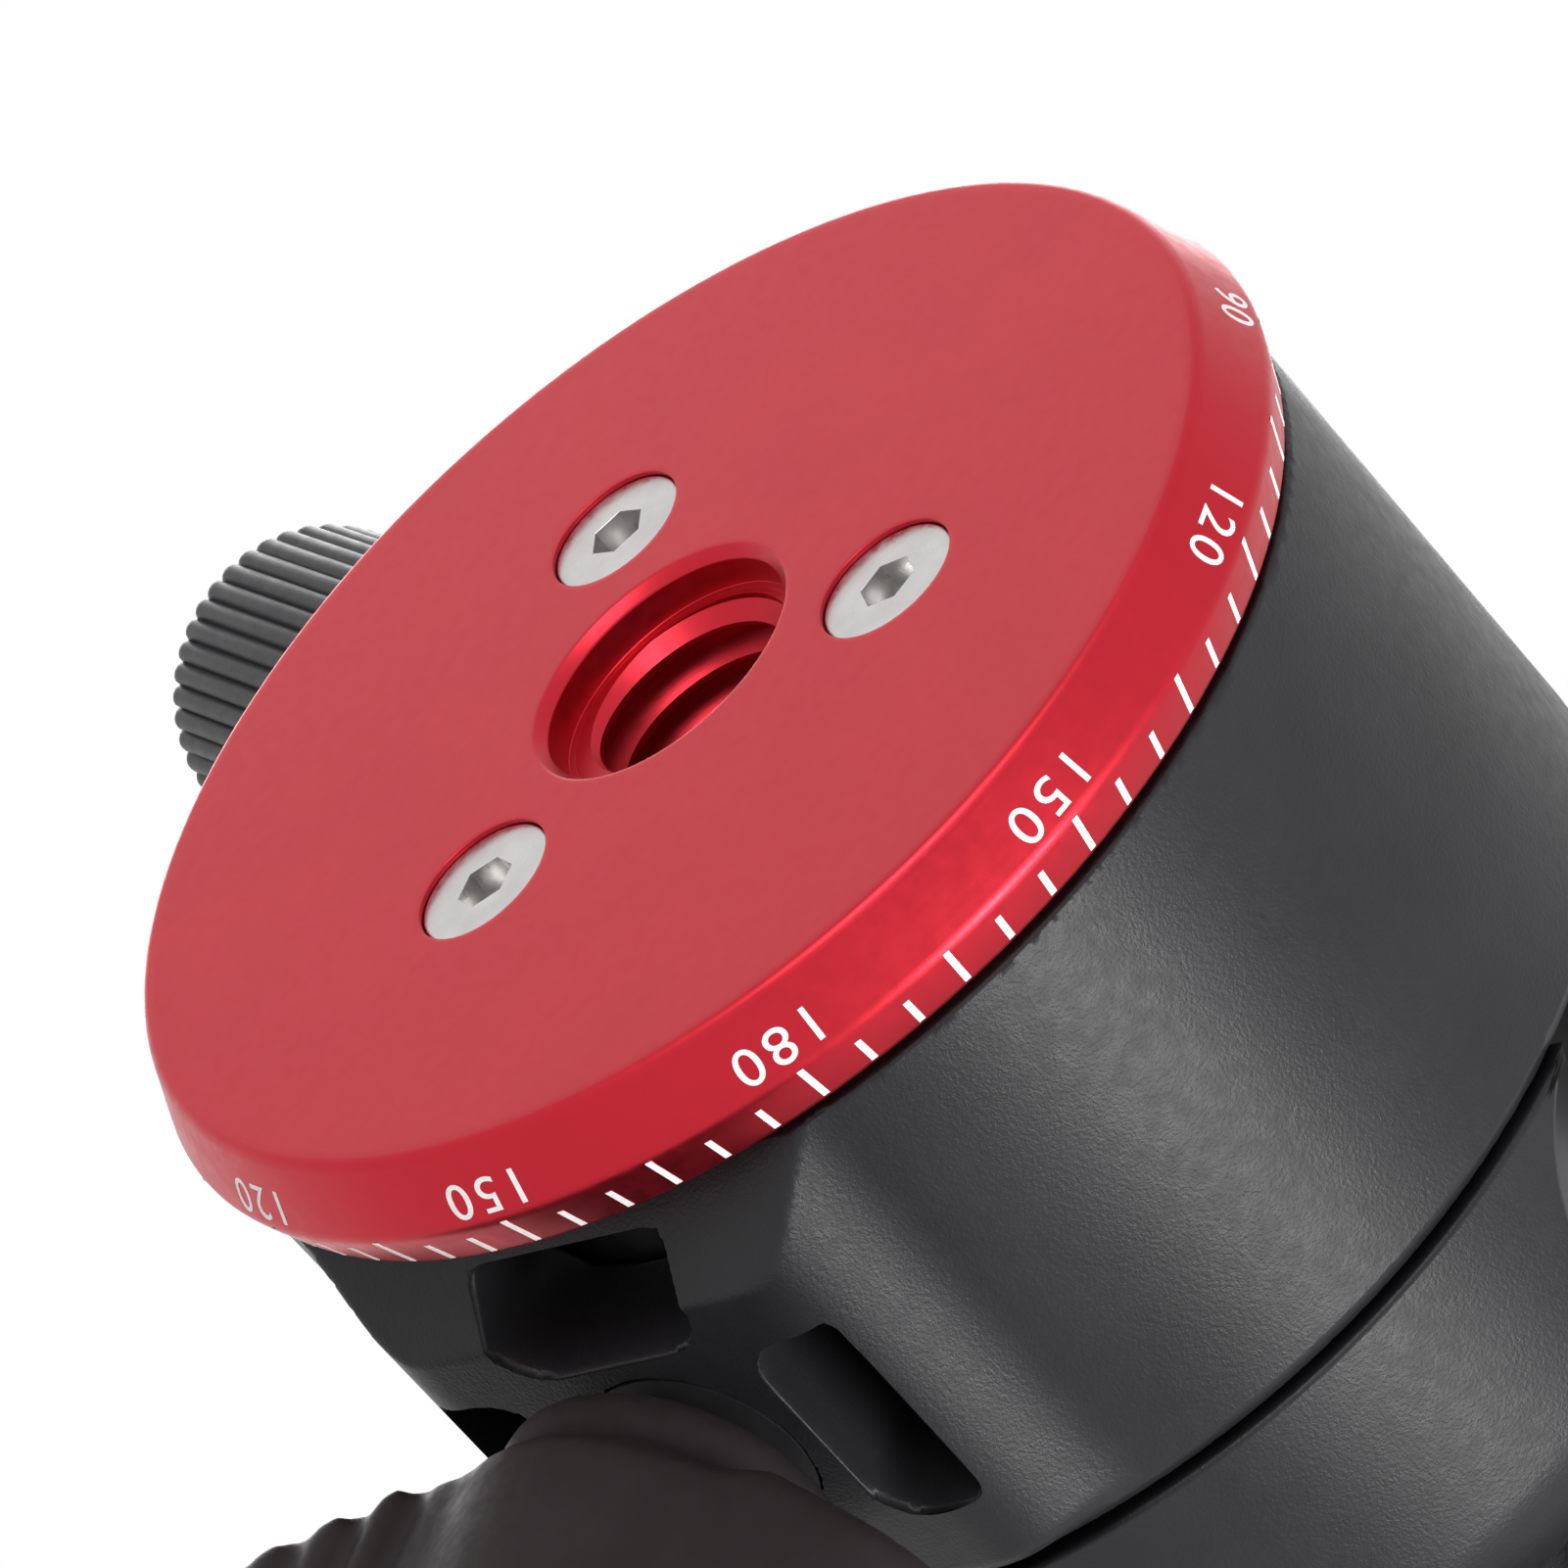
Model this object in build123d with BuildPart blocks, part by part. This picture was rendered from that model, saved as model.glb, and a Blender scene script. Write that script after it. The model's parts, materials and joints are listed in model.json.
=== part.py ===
from build123d import *
import math
import os

# Tripod ball head. Millimetres, +Z up the pan axis, origin at the centre of the
# bottom mounting face, +X along the axis of the main lock knob.

os.makedirs("parts", exist_ok=True)

# Fits and clearances
run_fit = 0.05            # radial gap of a turning or sliding fit
face_gap = 0.05           # gap between two flat faces that slide on each other
free_gap = 0.3            # gap between pieces that never touch
over = 2.0                # how far a cutting tool overruns its face

# Housing, from its outer wall inwards
body_r = 24.1
lip_w = 1.7               # rim outside the collar's thread
skirt_w = 1.8             # threaded skirt of the collar
ledge_w = 1.6             # ledge between the ring's bore and the pan chamber
flange_play = 0.6         # gap round the spindle's flange
flange_lip = 3.4          # flange's overhang over the spindle's hub
web_t = 3.4               # floor of the housing, held between the washers
ledge_rise = 3.05         # from the flange's top up to the ledge
rim_chamfer = 0.5
rim_drop = 0.8

# Base disc
disc_t = 5.0
disc_lip = 0.9            # how far the widest edge stands out of the housing
band_w = 0.8              # slope of the scale band
band_h = 2.1              # height of the scale band
bevel_w = 1.1             # slope of the lower bevel
disc_shoulder = 0.5       # size of the rounded shoulder round the mounting face
spigot_r = 7.0            # threaded boss that centres the pan spindle
spigot_drop = 0.45        # from the flange's top down to the spigot's
thread_minor_r = 4.05     # crests of the 3/8"-16 tripod thread
thread_bore_r = 5.32      # plain entry bore
thread_bore_t = 1.65
thread_mouth_r = 5.72
thread_mouth_t = 0.4
thread_roof = 1.4         # metal left above the blind end

# Countersunk screws that hold the spindle
screw_count = 3
screw_offset = 0.42       # from the middle of the hub's wall inwards
screw_first_angle = 143.5
screw_head_r = 2.8
screw_shank_r = 1.45
screw_len = 9.0
screw_sink = 0.17         # how far the heads lie under the face
screw_hex_r = 1.15
screw_hex_t = 1.2

# Pan spindle and its washers
pan_gap = 0.3             # gap between disc and housing, filled by the lower washer
washer_t = 0.3
flange_t = 3.9
washer_margin = 1.5       # from the housing's outer wall to the lower washer

# Lock screw, bushing and shoe
lock_rise = 3.35          # from the shoe's foot up to the lock axis
lock_screw_r = 3.0
bushing_wall = 1.4
knob_pitch = 1.25         # travel of the shoe in one turn
shoe_room = 0.35          # gap left behind the shoe at the end of its travel
shoe_len = 4.0
shoe_half_w = 4.5
shoe_low_t = 4.85         # height of the shoe at its thin end
wedge_slope = 0.5
lift_gap = 0.7            # travel of the ring down to its ledge
slot_room = 1.0           # from the shoe's high edge up to the slot's roof
slot_roof = 0.9
lift_w = 6.2              # width of the lift ring

# Boss of the main knob and the windows round it
boss_r = 10.4
boss_proud = 0.2          # how far the boss face stands out of the wall
boss_flare = 2.4
facet_drop = 7.4          # from the lock axis down to the lower facet
facet_slope = 0.85        # run along X for each unit of height
window_wall = 1.0         # wall between bushing and windows
window_long = 9.5
window_w = 4.2
window_round = 2.0

# Ball and its seats
ball_gap = 2.6            # gap between ball and bore
ball_neck_lip = 1.4       # flat round the stem's foot
cup_play = 0.4            # gap between cup and bore
cup_shoe_gap = 0.2137     # gap between cup and shoe
cup_top_angle = 28.0      # below the ball's equator
cup_bottom_angle = 62.0

# Collar that holds the ball down, with its drop notch
housing_drop = 7.4        # from the ball's centre down to the housing's rim
seam = 0.2                # gap between housing and collar
collar_bush_gap = 0.7     # from the bushing up to the foot of the collar's thread
collar_shoulder = 2.0     # start of the rounded shoulder above the ball's centre
collar_bulge = 0.9        # rise of the rounded shoulder over a straight cone
collar_rise = 7.5         # top edge above the ball's centre
collar_lip_w = 2.98       # width of the top edge
lip_gap = 0.6             # gap between the collar's lip and the ball
seat_rise = 3.2           # seat ring's foot above the ball's centre
seat_t = 2.0
notch_gap = 0.9           # gap between notch and stem
notch_drop = 0.4          # centre of the notch below the ball's centre
grub_r = 1.45
grub_drop = 2.2           # from the housing's rim down to the grub screw
grub_azimuth = 205.0

# Main knob
knob_gap = 1.7            # gap between boss and knob
knob_hub_r = 6.9
knob_hub_t = 3.0
knob_t = 14.0             # thickness of the wings' middle
wing_reach = 18.0
wing_half_w = 5.6
wing_core_r = 7.8
wing_sweep = 5.0          # how far the back of a wing is swept at its tip
wing_web_r = 4.0          # rounding between core and wings
wing_tilt = 11.0
wing_edge = 1.6
rib_r = 0.7
rib_count = 4
rib_end = 3.6             # from the wing's tip to the first groove
rib_margin = 0.7          # from the rounding at the core to the last groove
knob_metal = 5.0          # metal of the knob ahead of the lock screw's end
cap_r = 5.6
cap_t = 1.2
cap_proud = 0.3

# Pan lock
pan_drop = 0.85           # from the flange's top down to the pan lock's axis
pan_azimuth = 118.0
pan_screw_r = 3.0
pan_pad_t = 1.6
pan_knob_gap = 1.4        # gap between housing and knob
pan_knob_len = 17.2
pan_neck_t = 2.2
spot_margin = 0.7         # flat spot's width round the knob
spot_t = 1.0

# The two ridged knobs
grip_r = 6.5
grip_neck_r = 4.6
grip_edge = 0.5
grip_metal = 3.0          # metal of a ridged knob ahead of its screw's end
ridge_count = 42
ridge_t = 0.42
ridge_half_share = 0.3    # half width of a groove as a share of the ridge pitch

# Stem
stem_r = 6.0
stem_flange_r = 9.5
stem_flange_t = 1.3
stem_pin_r = 3.9
stem_pin_t = 8.0
socket_room = 1.0
swing_gap = 1.2           # gap between base disc and clamp with the head dropped
fixing_r = 2.9
fixing_len = 12.0
fixing_head_w = 2.0       # width of the head round the shank
fixing_head_t = 4.2
fixing_sink = 0.6
fixing_hex_r = 2.9
fixing_hex_t = 2.4

# Quick-release plate
plate_half_y = 25.0
plate_r = 19.0            # half width of the plate and of its dovetail's foot
dove_t = 2.6              # height and depth of the dovetail's flanks
plate_foot_t = 0.8
plate_neck_t = 1.6
plate_top_t = 5.0
plate_edge = 0.6
plate_gap = 0.1           # play of the dovetail in the jaws
slot_gap = 0.15           # gap between camera screw and slot
plate_slot_half = 8.0
well_gap = 1.0            # gap between the screw's head and its well
camera_screw_r = 3.1
undercut = 0.5            # how much slimmer the screw is below its thread
camera_screw_out = 5.5
camera_head_r = 7.0
camera_head_t = 3.6
camera_head_sink = 0.7
camera_slot_w = 1.6
camera_slot_t = 1.4
clip_w = 2.55             # width of the clip round the screw
clip_t = 0.6
clip_gap = 0.2
pad_margin = 2.5          # from the plate's edge in to the rubber pads
pad_gap = 2.25            # from the slot out to the pads
pad_end = 2.5             # from the ends of the plate in to the pads
pad_t = 0.8
pad_sink = 0.5

# Quick-release clamp
clamp_half_y = 20.0
jaw_w = 6.5               # jaw outside the dovetail's foot
jaw_gap = 0.4             # gap between the jaws' tops and the plate
split_inset = 3.0         # from the dovetail's foot in to the split
clamp_floor = 9.6
clamp_edge = 0.8
floor_wall = 0.6          # wall between clamp screw and floor
clamp_screw_r = 2.5
screw_wall = 1.6          # wall between clamp screw and fixing screw
clamp_knob_gap = 0.6
clamp_knob_len = 12.0
clamp_neck_t = 1.4
pin_r = 1.5
pin_y = 13.0
pin_in = 10.5
pin_jaw = 7.0
spring_play = 0.2         # gap between pin and spring
spring_wall = 0.6
spring_in = 5.5
spring_jaw = 2.5
level_inset = 0.85        # from the dovetail's foot in to the level
level_edge = 0.1          # metal left between the vial's bore and the chamfer
level_wall = 0.7
level_t = 2.2

# Derived radii
collar_thread_r = body_r - lip_w
bore_r = collar_thread_r - skirt_w
chamber_r = bore_r - ledge_w
flange_r = chamber_r - flange_play
spindle_hub_r = flange_r - flange_lip
lower_washer_r = body_r - washer_margin
disc_r = body_r + disc_lip
disc_face_r = disc_r - bevel_w
disc_top_r = disc_r - band_w
screw_circle_r = (spigot_r + spindle_hub_r) / 2 - screw_offset
ball_r = bore_r - ball_gap
cup_r = bore_r - cup_play
lift_inner_r = bore_r - lift_w
bushing_r = lock_screw_r + bushing_wall
window_near = bushing_r + window_wall
window_far = window_near + window_w
ball_neck_r = stem_r + ball_neck_lip
notch_r = stem_r + notch_gap
spot_r = grip_r + spot_margin
fixing_head_r = fixing_r + fixing_head_w
spring_r = pin_r + spring_play + spring_wall
plate_neck_r = plate_r - dove_t
plate_slot_r = camera_screw_r + slot_gap
plate_well_r = camera_head_r + well_gap
camera_neck_r = camera_screw_r - undercut
clip_r = camera_neck_r + run_fit + clip_w


def leg(hypotenuse, side):
    """Third side of a right triangle, used for heights on a sphere."""
    return math.sqrt(hypotenuse ** 2 - side ** 2)


# Derived heights, from the mounting face up
disc_edge_z = disc_t - band_h
housing_z = disc_t + pan_gap + face_gap
web_top = housing_z + web_t
flange_z = web_top + washer_t + 2 * face_gap
flange_top = flange_z + flange_t
spigot_top = flange_top - spigot_drop
screw_head_t = screw_head_r - screw_shank_r
pan_z = flange_top - pan_drop
ledge_z = flange_top + ledge_rise
ring_z = ledge_z + lift_gap
shoe_foot = flange_top + free_gap
lock_z = shoe_foot + lock_rise
shoe_low_top = shoe_foot + shoe_low_t
shoe_high_top = shoe_low_top + wedge_slope * shoe_len
lift_slot_top = shoe_high_top + slot_room
ring_top = lift_slot_top + slot_roof
facet_edge_z = lock_z - facet_drop
shoe_x1 = chamber_r - knob_pitch - shoe_room
shoe_x0 = shoe_x1 - shoe_len
ball_z = shoe_low_top + leg(cup_r + cup_shoe_gap, shoe_x0)
housing_top = ball_z - housing_drop
grub_z = housing_top - grub_drop
collar_z = housing_top + seam
collar_foot = lock_z + bushing_r + collar_bush_gap
collar_shoulder_z = ball_z + collar_shoulder
collar_top = ball_z + collar_rise
collar_top_r = leg(ball_r + lip_gap, collar_rise) + collar_lip_w
seat_foot = ball_z + seat_rise
seat_top = seat_foot + seat_t
notch_z = ball_z - notch_drop
neck_flat_z = ball_z + leg(ball_r, ball_neck_r)
clamp_z = ball_z + disc_r + swing_gap
floor_z = clamp_z + clamp_floor
screw_z = floor_z - floor_wall - clamp_screw_r
fixing_top = floor_z - fixing_sink
fixing_end = fixing_top - fixing_head_t - fixing_len
plate_z = floor_z + plate_gap
neck_z = plate_z + plate_foot_t + dove_t
slab_z = neck_z + plate_neck_t
jaw_top = slab_z - jaw_gap
plate_top = slab_z + plate_top_t
camera_thread_z = plate_top - pad_sink + pad_t + free_gap
camera_head_z = plate_z + camera_head_sink
camera_head_top = camera_head_z + camera_head_t
clip_z = camera_head_top + free_gap
well_top = clip_z + clip_t + clip_gap

# Derived places along the axes of the knobs
boss_x = body_r + boss_proud
knob_back_x = boss_x + knob_gap
knob_hub_x = knob_back_x + knob_hub_t
knob_front_x = knob_hub_x + knob_t
wing_sweep_x = knob_hub_x + wing_sweep
wing_flank = leg(wing_core_r + wing_web_r, wing_half_w + wing_web_r)
rib_pitch = (wing_reach - rib_end - wing_flank - rib_margin) / (rib_count - 1)
lock_screw_in = shoe_x1 + face_gap
lock_screw_out = knob_front_x - knob_metal
window_in_x = leg(chamber_r, window_far) - free_gap
slot_top_x = shoe_x0 + (lift_slot_top - shoe_low_top - 2 * face_gap) / wedge_slope
pad_face = flange_r + face_gap
pan_screw_in = pad_face + pan_pad_t + face_gap
pan_knob_in = body_r - spot_t + pan_knob_gap + pan_neck_t
pan_knob_out = pan_knob_in + pan_knob_len
clamp_out_x = plate_r + jaw_w
clamp_split_x = plate_r - split_inset
clamp_screw_in = clamp_split_x - fixing_head_r - screw_wall
jaw_face_x = clamp_split_x + free_gap
clamp_knob_in = clamp_out_x + clamp_knob_gap + clamp_neck_t
level_out_x = clamp_out_x - clamp_edge - level_edge - run_fit
level_in_x = plate_r - level_inset
level_r = (level_out_x - level_in_x) / 2
level_x = -(level_out_x + level_in_x) / 2
pad_outer_x = plate_r - pad_margin
pad_inner_x = plate_slot_r + pad_gap

# Planes: one on each lock axis, one on the clamp screw and one on the grub screw
lock_plane = Plane(origin=(0, 0, lock_z), x_dir=(0, 1, 0), z_dir=(1, 0, 0))
pan_dir = Vector(1, 0, 0).rotate(Axis.Z, pan_azimuth)
pan_plane = Plane(origin=(0, 0, pan_z), x_dir=pan_dir.rotate(Axis.Z, 90), z_dir=pan_dir)
clamp_plane = Plane(origin=(0, 0, screw_z), x_dir=(0, 1, 0), z_dir=(1, 0, 0))
wing_plane = lock_plane.rotated((-wing_tilt, 0, 0))
grub_plane = Plane(origin=(0, 0, grub_z), z_dir=Vector(1, 0, 0).rotate(Axis.Z, grub_azimuth))


def save(part, name):
    part.label = name
    export_step(part, f"parts/{name}.step")


def notch_tool():
    """The drop notch: a slot with a round foot, open upwards and towards -Y."""
    with BuildPart() as tool:
        with BuildSketch(Plane.XZ):
            with Locations((0, notch_z)):
                Circle(notch_r)
            with Locations((0, (notch_z + collar_top + over) / 2)):
                Rectangle(notch_r * 2, collar_top + over - notch_z)
        extrude(amount=body_r + over)
    return tool.part


def grip(plane, inner, outer, screw_end, screw_r, neck_t):
    """A ridged knob with a neck, blind-bored for its screw."""
    with BuildPart() as knob:
        with BuildSketch(plane.offset(inner)):
            Circle(grip_r)
        extrude(amount=outer - inner)
        chamfer(knob.edges().filter_by(GeomType.CIRCLE), grip_edge)
        ridge_half = math.pi * grip_r / ridge_count * 2 * ridge_half_share
        with BuildSketch(plane.offset(inner)):
            with PolarLocations(grip_r, ridge_count):
                Polygon(
                    (-ridge_t, 0), (ridge_t, ridge_half * 2), (ridge_t, -ridge_half * 2),
                    align=None,
                )
        extrude(amount=outer - inner, mode=Mode.SUBTRACT)
        with BuildSketch(plane.offset(inner - neck_t)):
            Circle(grip_neck_r)
        extrude(amount=neck_t)
        with BuildSketch(plane.offset(inner - neck_t)):
            Circle(screw_r + run_fit)
        extrude(amount=screw_end + free_gap - inner + neck_t, mode=Mode.SUBTRACT)
    return knob.part


# Base disc with the tripod thread and the screw seats
with BuildPart() as base_disc:
    with BuildSketch(Plane.XZ):
        with BuildLine():
            ThreePointArc(
                (disc_face_r - disc_shoulder, 0),
                (disc_face_r - disc_shoulder * math.sin(math.pi / 8), disc_shoulder / 8),
                (disc_face_r, disc_shoulder / 2),
            )
            Polyline(
                (disc_face_r, disc_shoulder / 2),
                (disc_r, disc_edge_z),
                (disc_top_r, disc_t),
                (spigot_r, disc_t),
                (spigot_r, spigot_top),
                (0, spigot_top),
                (0, 0),
                (disc_face_r - disc_shoulder, 0),
            )
        make_face()
    revolve(axis=Axis.Z)
    with BuildSketch(Plane.XZ):
        with BuildLine():
            Polyline(
                (0, -over),
                (thread_mouth_r, -over),
                (thread_mouth_r, 0),
                (thread_bore_r, thread_mouth_t),
                (thread_bore_r, thread_bore_t),
                (thread_minor_r, thread_bore_t),
                (thread_minor_r, spigot_top - thread_roof),
                (0, spigot_top - thread_roof),
                (0, -over),
            )
        make_face()
    revolve(axis=Axis.Z, mode=Mode.SUBTRACT)
    with BuildSketch(Plane.XY.offset(-over)):
        with PolarLocations(screw_circle_r, screw_count, start_angle=screw_first_angle):
            Circle(screw_head_r + run_fit)
    extrude(amount=over + screw_sink, mode=Mode.SUBTRACT)
    with BuildSketch(Plane.XY.offset(screw_sink)):
        with PolarLocations(screw_circle_r, screw_count, start_angle=screw_first_angle):
            Circle(screw_head_r + run_fit)
    extrude(amount=screw_head_t, taper=45, mode=Mode.SUBTRACT)
    with BuildSketch(Plane.XY):
        with PolarLocations(screw_circle_r, screw_count, start_angle=screw_first_angle):
            Circle(screw_shank_r + run_fit)
    extrude(amount=disc_t + over, mode=Mode.SUBTRACT)
save(base_disc.part, "base_disc")

# The countersunk socket screws, one node
with BuildPart() as spindle_screws:
    with BuildSketch(Plane.XY.offset(screw_sink)):
        with PolarLocations(screw_circle_r, screw_count, start_angle=screw_first_angle):
            Circle(screw_head_r)
    extrude(amount=screw_head_t, taper=45)
    with BuildSketch(Plane.XY.offset(screw_sink)):
        with PolarLocations(screw_circle_r, screw_count, start_angle=screw_first_angle):
            Circle(screw_shank_r)
    extrude(amount=screw_len)
    with BuildSketch(Plane.XY.offset(screw_sink)):
        with PolarLocations(screw_circle_r, screw_count, start_angle=screw_first_angle):
            RegularPolygon(screw_hex_r, 6)
    extrude(amount=screw_hex_t, mode=Mode.SUBTRACT)
save(spindle_screws.part, "spindle_screws")

# Pan spindle: hub through the housing floor, flange above it
with BuildPart() as pan_spindle:
    with BuildSketch(Plane.XY.offset(disc_t)):
        Circle(spindle_hub_r)
    extrude(amount=flange_z - disc_t)
    with BuildSketch(Plane.XY.offset(flange_z)):
        Circle(flange_r)
    extrude(amount=flange_t)
    with BuildSketch(Plane.XY.offset(disc_t)):
        Circle(spigot_r + run_fit)
    extrude(amount=flange_top, mode=Mode.SUBTRACT)
    with BuildSketch(Plane.XY.offset(disc_t)):
        with PolarLocations(screw_circle_r, screw_count, start_angle=screw_first_angle):
            Circle(screw_shank_r + run_fit)
    extrude(amount=screw_sink + screw_len + free_gap - disc_t, mode=Mode.SUBTRACT)
save(pan_spindle.part, "pan_spindle")

# Low-friction washers below and above the housing floor
with BuildPart() as lower_washer:
    with BuildSketch(Plane.XY.offset(disc_t)):
        Circle(lower_washer_r)
        Circle(spindle_hub_r + free_gap, mode=Mode.SUBTRACT)
    extrude(amount=pan_gap)
save(lower_washer.part, "lower_washer")

with BuildPart() as upper_washer:
    with BuildSketch(Plane.XY.offset(web_top + face_gap)):
        Circle(flange_r - free_gap)
        Circle(spindle_hub_r + free_gap, mode=Mode.SUBTRACT)
    extrude(amount=washer_t)
save(upper_washer.part, "upper_washer")

# Boss for the main knob, trimmed to the housing's height
with BuildPart() as boss:
    with BuildSketch(lock_plane.offset(bore_r)):
        Circle(boss_r + boss_flare)
    with BuildSketch(lock_plane.offset(boss_x)):
        Circle(boss_r)
    loft(ruled=True)
    split(bisect_by=Plane.XY.offset(housing_z), keep=Keep.TOP)
    split(bisect_by=Plane.XY.offset(housing_top - rim_drop), keep=Keep.BOTTOM)

# Housing: shell, boss, facet, windows and bores
with BuildPart() as housing:
    with BuildSketch(Plane.XZ):
        with BuildLine():
            Polyline(
                (spindle_hub_r + run_fit, housing_z),
                (body_r, housing_z),
                (body_r, housing_top - rim_drop),
                (body_r - rim_chamfer, housing_top),
                (collar_thread_r + run_fit, housing_top),
                (collar_thread_r + run_fit, collar_foot - free_gap),
                (bore_r, collar_foot - free_gap),
                (bore_r, ledge_z),
                (chamber_r, ledge_z),
                (chamber_r, web_top),
                (spindle_hub_r + run_fit, web_top),
                close=True,
            )
        make_face()
    revolve(axis=Axis.Z)
    add(boss.part)
    with BuildSketch(Plane.XY.offset(ledge_z)):
        Circle(bore_r)
    extrude(amount=collar_foot - free_gap - ledge_z, mode=Mode.SUBTRACT)
    with BuildSketch(Plane.XY.offset(collar_foot - free_gap)):
        Circle(collar_thread_r + run_fit)
    extrude(amount=housing_top + over - collar_foot, mode=Mode.SUBTRACT)
    with BuildSketch(Plane.XZ):
        with BuildLine():
            Polyline(
                (boss_x, facet_edge_z),
                (boss_x - facet_slope * facet_edge_z, 0),
                (boss_x + over, 0),
                (boss_x + over, facet_edge_z + over / facet_slope),
                close=True,
            )
        make_face()
    extrude(amount=body_r, both=True, mode=Mode.SUBTRACT)
    for turn in (-90, 0, 90):
        with BuildSketch(lock_plane.rotated((turn, 0, 0)).offset(window_in_x)) as window:
            with Locations((0, -(window_near + window_far) / 2)):
                Rectangle(window_long, window_far - window_near)
            fillet(window.vertices().group_by(Axis.Y)[-1], window_round)
        extrude(amount=boss_x + over - window_in_x, mode=Mode.SUBTRACT)
    with BuildSketch(lock_plane.offset(shoe_x1)):
        Circle(bushing_r + run_fit)
    extrude(amount=boss_x + over - shoe_x1, mode=Mode.SUBTRACT)
    with BuildSketch(Plane.XY.offset(shoe_foot - free_gap)):
        with Locations(((shoe_x0 + shoe_x1 + knob_pitch) / 2 + free_gap, 0)):
            Rectangle(shoe_x1 - shoe_x0 + knob_pitch, (shoe_half_w + free_gap) * 2)
    extrude(amount=ledge_z + over - shoe_foot, mode=Mode.SUBTRACT)
    with BuildSketch(pan_plane.offset(chamber_r - over)):
        Circle(pan_screw_r + run_fit)
    extrude(amount=body_r + over, mode=Mode.SUBTRACT)
    with BuildSketch(pan_plane.offset(body_r - spot_t)):
        Circle(spot_r)
    extrude(amount=spot_t + over, mode=Mode.SUBTRACT)
    with BuildSketch(grub_plane.offset(collar_thread_r - over)):
        Circle(grub_r + run_fit)
    extrude(amount=body_r, mode=Mode.SUBTRACT)
save(housing.part, "housing")

# Brass bushing of the lock screw
with BuildPart() as lock_bushing:
    with BuildSketch(lock_plane.offset(bore_r + face_gap)):
        Circle(bushing_r)
        Circle(lock_screw_r + run_fit, mode=Mode.SUBTRACT)
    extrude(amount=boss_x - bore_r - face_gap)
save(lock_bushing.part, "lock_bushing")

# Grub screw that locks the collar
with BuildPart() as collar_grub:
    with BuildSketch(grub_plane.offset(collar_thread_r + face_gap)):
        Circle(grub_r)
    extrude(amount=body_r - rim_chamfer - collar_thread_r)
    with BuildSketch(grub_plane.offset(body_r - rim_chamfer + face_gap)):
        RegularPolygon(grub_r / 2, 6)
    extrude(amount=-grub_r / 2, mode=Mode.SUBTRACT)
save(collar_grub.part, "collar_grub")

# Collar: threaded skirt, shoulder, lip over the ball, notch
with BuildPart() as upper_collar:
    with BuildSketch(Plane.XZ):
        with BuildLine():
            Polyline(
                (collar_top_r, collar_top),
                (leg(ball_r + lip_gap, collar_rise), collar_top),
                (leg(ball_r + lip_gap, seat_rise + seat_t), seat_top),
                (bore_r, seat_top),
                (bore_r, collar_foot),
                (collar_thread_r, collar_foot),
                (collar_thread_r, collar_z),
                (body_r, collar_z),
                (body_r, collar_shoulder_z),
            )
            ThreePointArc(
                (body_r, collar_shoulder_z),
                (
                    (body_r + collar_top_r) / 2 + collar_bulge,
                    (collar_shoulder_z + collar_top) / 2 + collar_bulge,
                ),
                (collar_top_r, collar_top),
            )
        make_face()
    revolve(axis=Axis.Z)
    add(notch_tool(), mode=Mode.SUBTRACT)
save(upper_collar.part, "upper_collar")

# Upper seat ring, split by the notch
with BuildPart() as upper_seat:
    with BuildSketch(Plane.XY.offset(seat_foot)):
        Circle(bore_r - run_fit)
    extrude(amount=seat_top - face_gap - seat_foot)
    with Locations((0, 0, ball_z)):
        Sphere(ball_r + run_fit, mode=Mode.SUBTRACT)
    add(notch_tool(), mode=Mode.SUBTRACT)
save(upper_seat.part, "upper_seat")

# Lower seat cup under the ball
with BuildPart() as seat_cup:
    with BuildSketch(Plane.XZ):
        with BuildLine():
            cup_sweep = cup_bottom_angle - cup_top_angle
            cup_outer = CenterArc((0, ball_z), cup_r, -cup_bottom_angle, cup_sweep)
            cup_inner = CenterArc((0, ball_z), ball_r + run_fit, -cup_bottom_angle, cup_sweep)
            Line(cup_outer @ 0, cup_inner @ 0)
            Line(cup_outer @ 1, cup_inner @ 1)
        make_face()
    revolve(axis=Axis.Z)
save(seat_cup.part, "seat_cup")

# Lift ring that the shoe raises against the cup
with BuildPart() as lift_ring:
    with BuildSketch(Plane.XY.offset(ring_z)):
        Circle(bore_r - run_fit)
        Circle(lift_inner_r, mode=Mode.SUBTRACT)
    extrude(amount=ring_top - ring_z)
    with Locations((0, 0, ball_z)):
        Sphere(cup_r + run_fit * 2, mode=Mode.SUBTRACT)
    with BuildSketch(Plane.XZ):
        with BuildLine():
            Polyline(
                (shoe_x0 - over, shoe_foot),
                (shoe_x0 - over, shoe_low_top + 2 * face_gap - wedge_slope * over),
                (slot_top_x, lift_slot_top),
                (bore_r + over, lift_slot_top),
                (bore_r + over, shoe_foot),
                close=True,
            )
        make_face()
    extrude(amount=shoe_half_w + free_gap, both=True, mode=Mode.SUBTRACT)
save(lift_ring.part, "lift_ring")

# Lock shoe: the wedge that the lock screw drives under the ring
with BuildPart() as lock_shoe:
    with BuildSketch(Plane.XZ):
        with BuildLine():
            Polyline(
                (shoe_x0, shoe_foot),
                (shoe_x1, shoe_foot),
                (shoe_x1, shoe_high_top),
                (shoe_x0, shoe_low_top),
                close=True,
            )
        make_face()
    extrude(amount=shoe_half_w, both=True)
save(lock_shoe.part, "lock_shoe")

# Lock screw
with BuildPart() as lock_screw:
    with BuildSketch(lock_plane.offset(lock_screw_in)):
        Circle(lock_screw_r)
    extrude(amount=lock_screw_out - lock_screw_in)
    chamfer(lock_screw.edges().group_by(Axis.X)[0], grip_edge)
save(lock_screw.part, "lock_screw")

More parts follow.
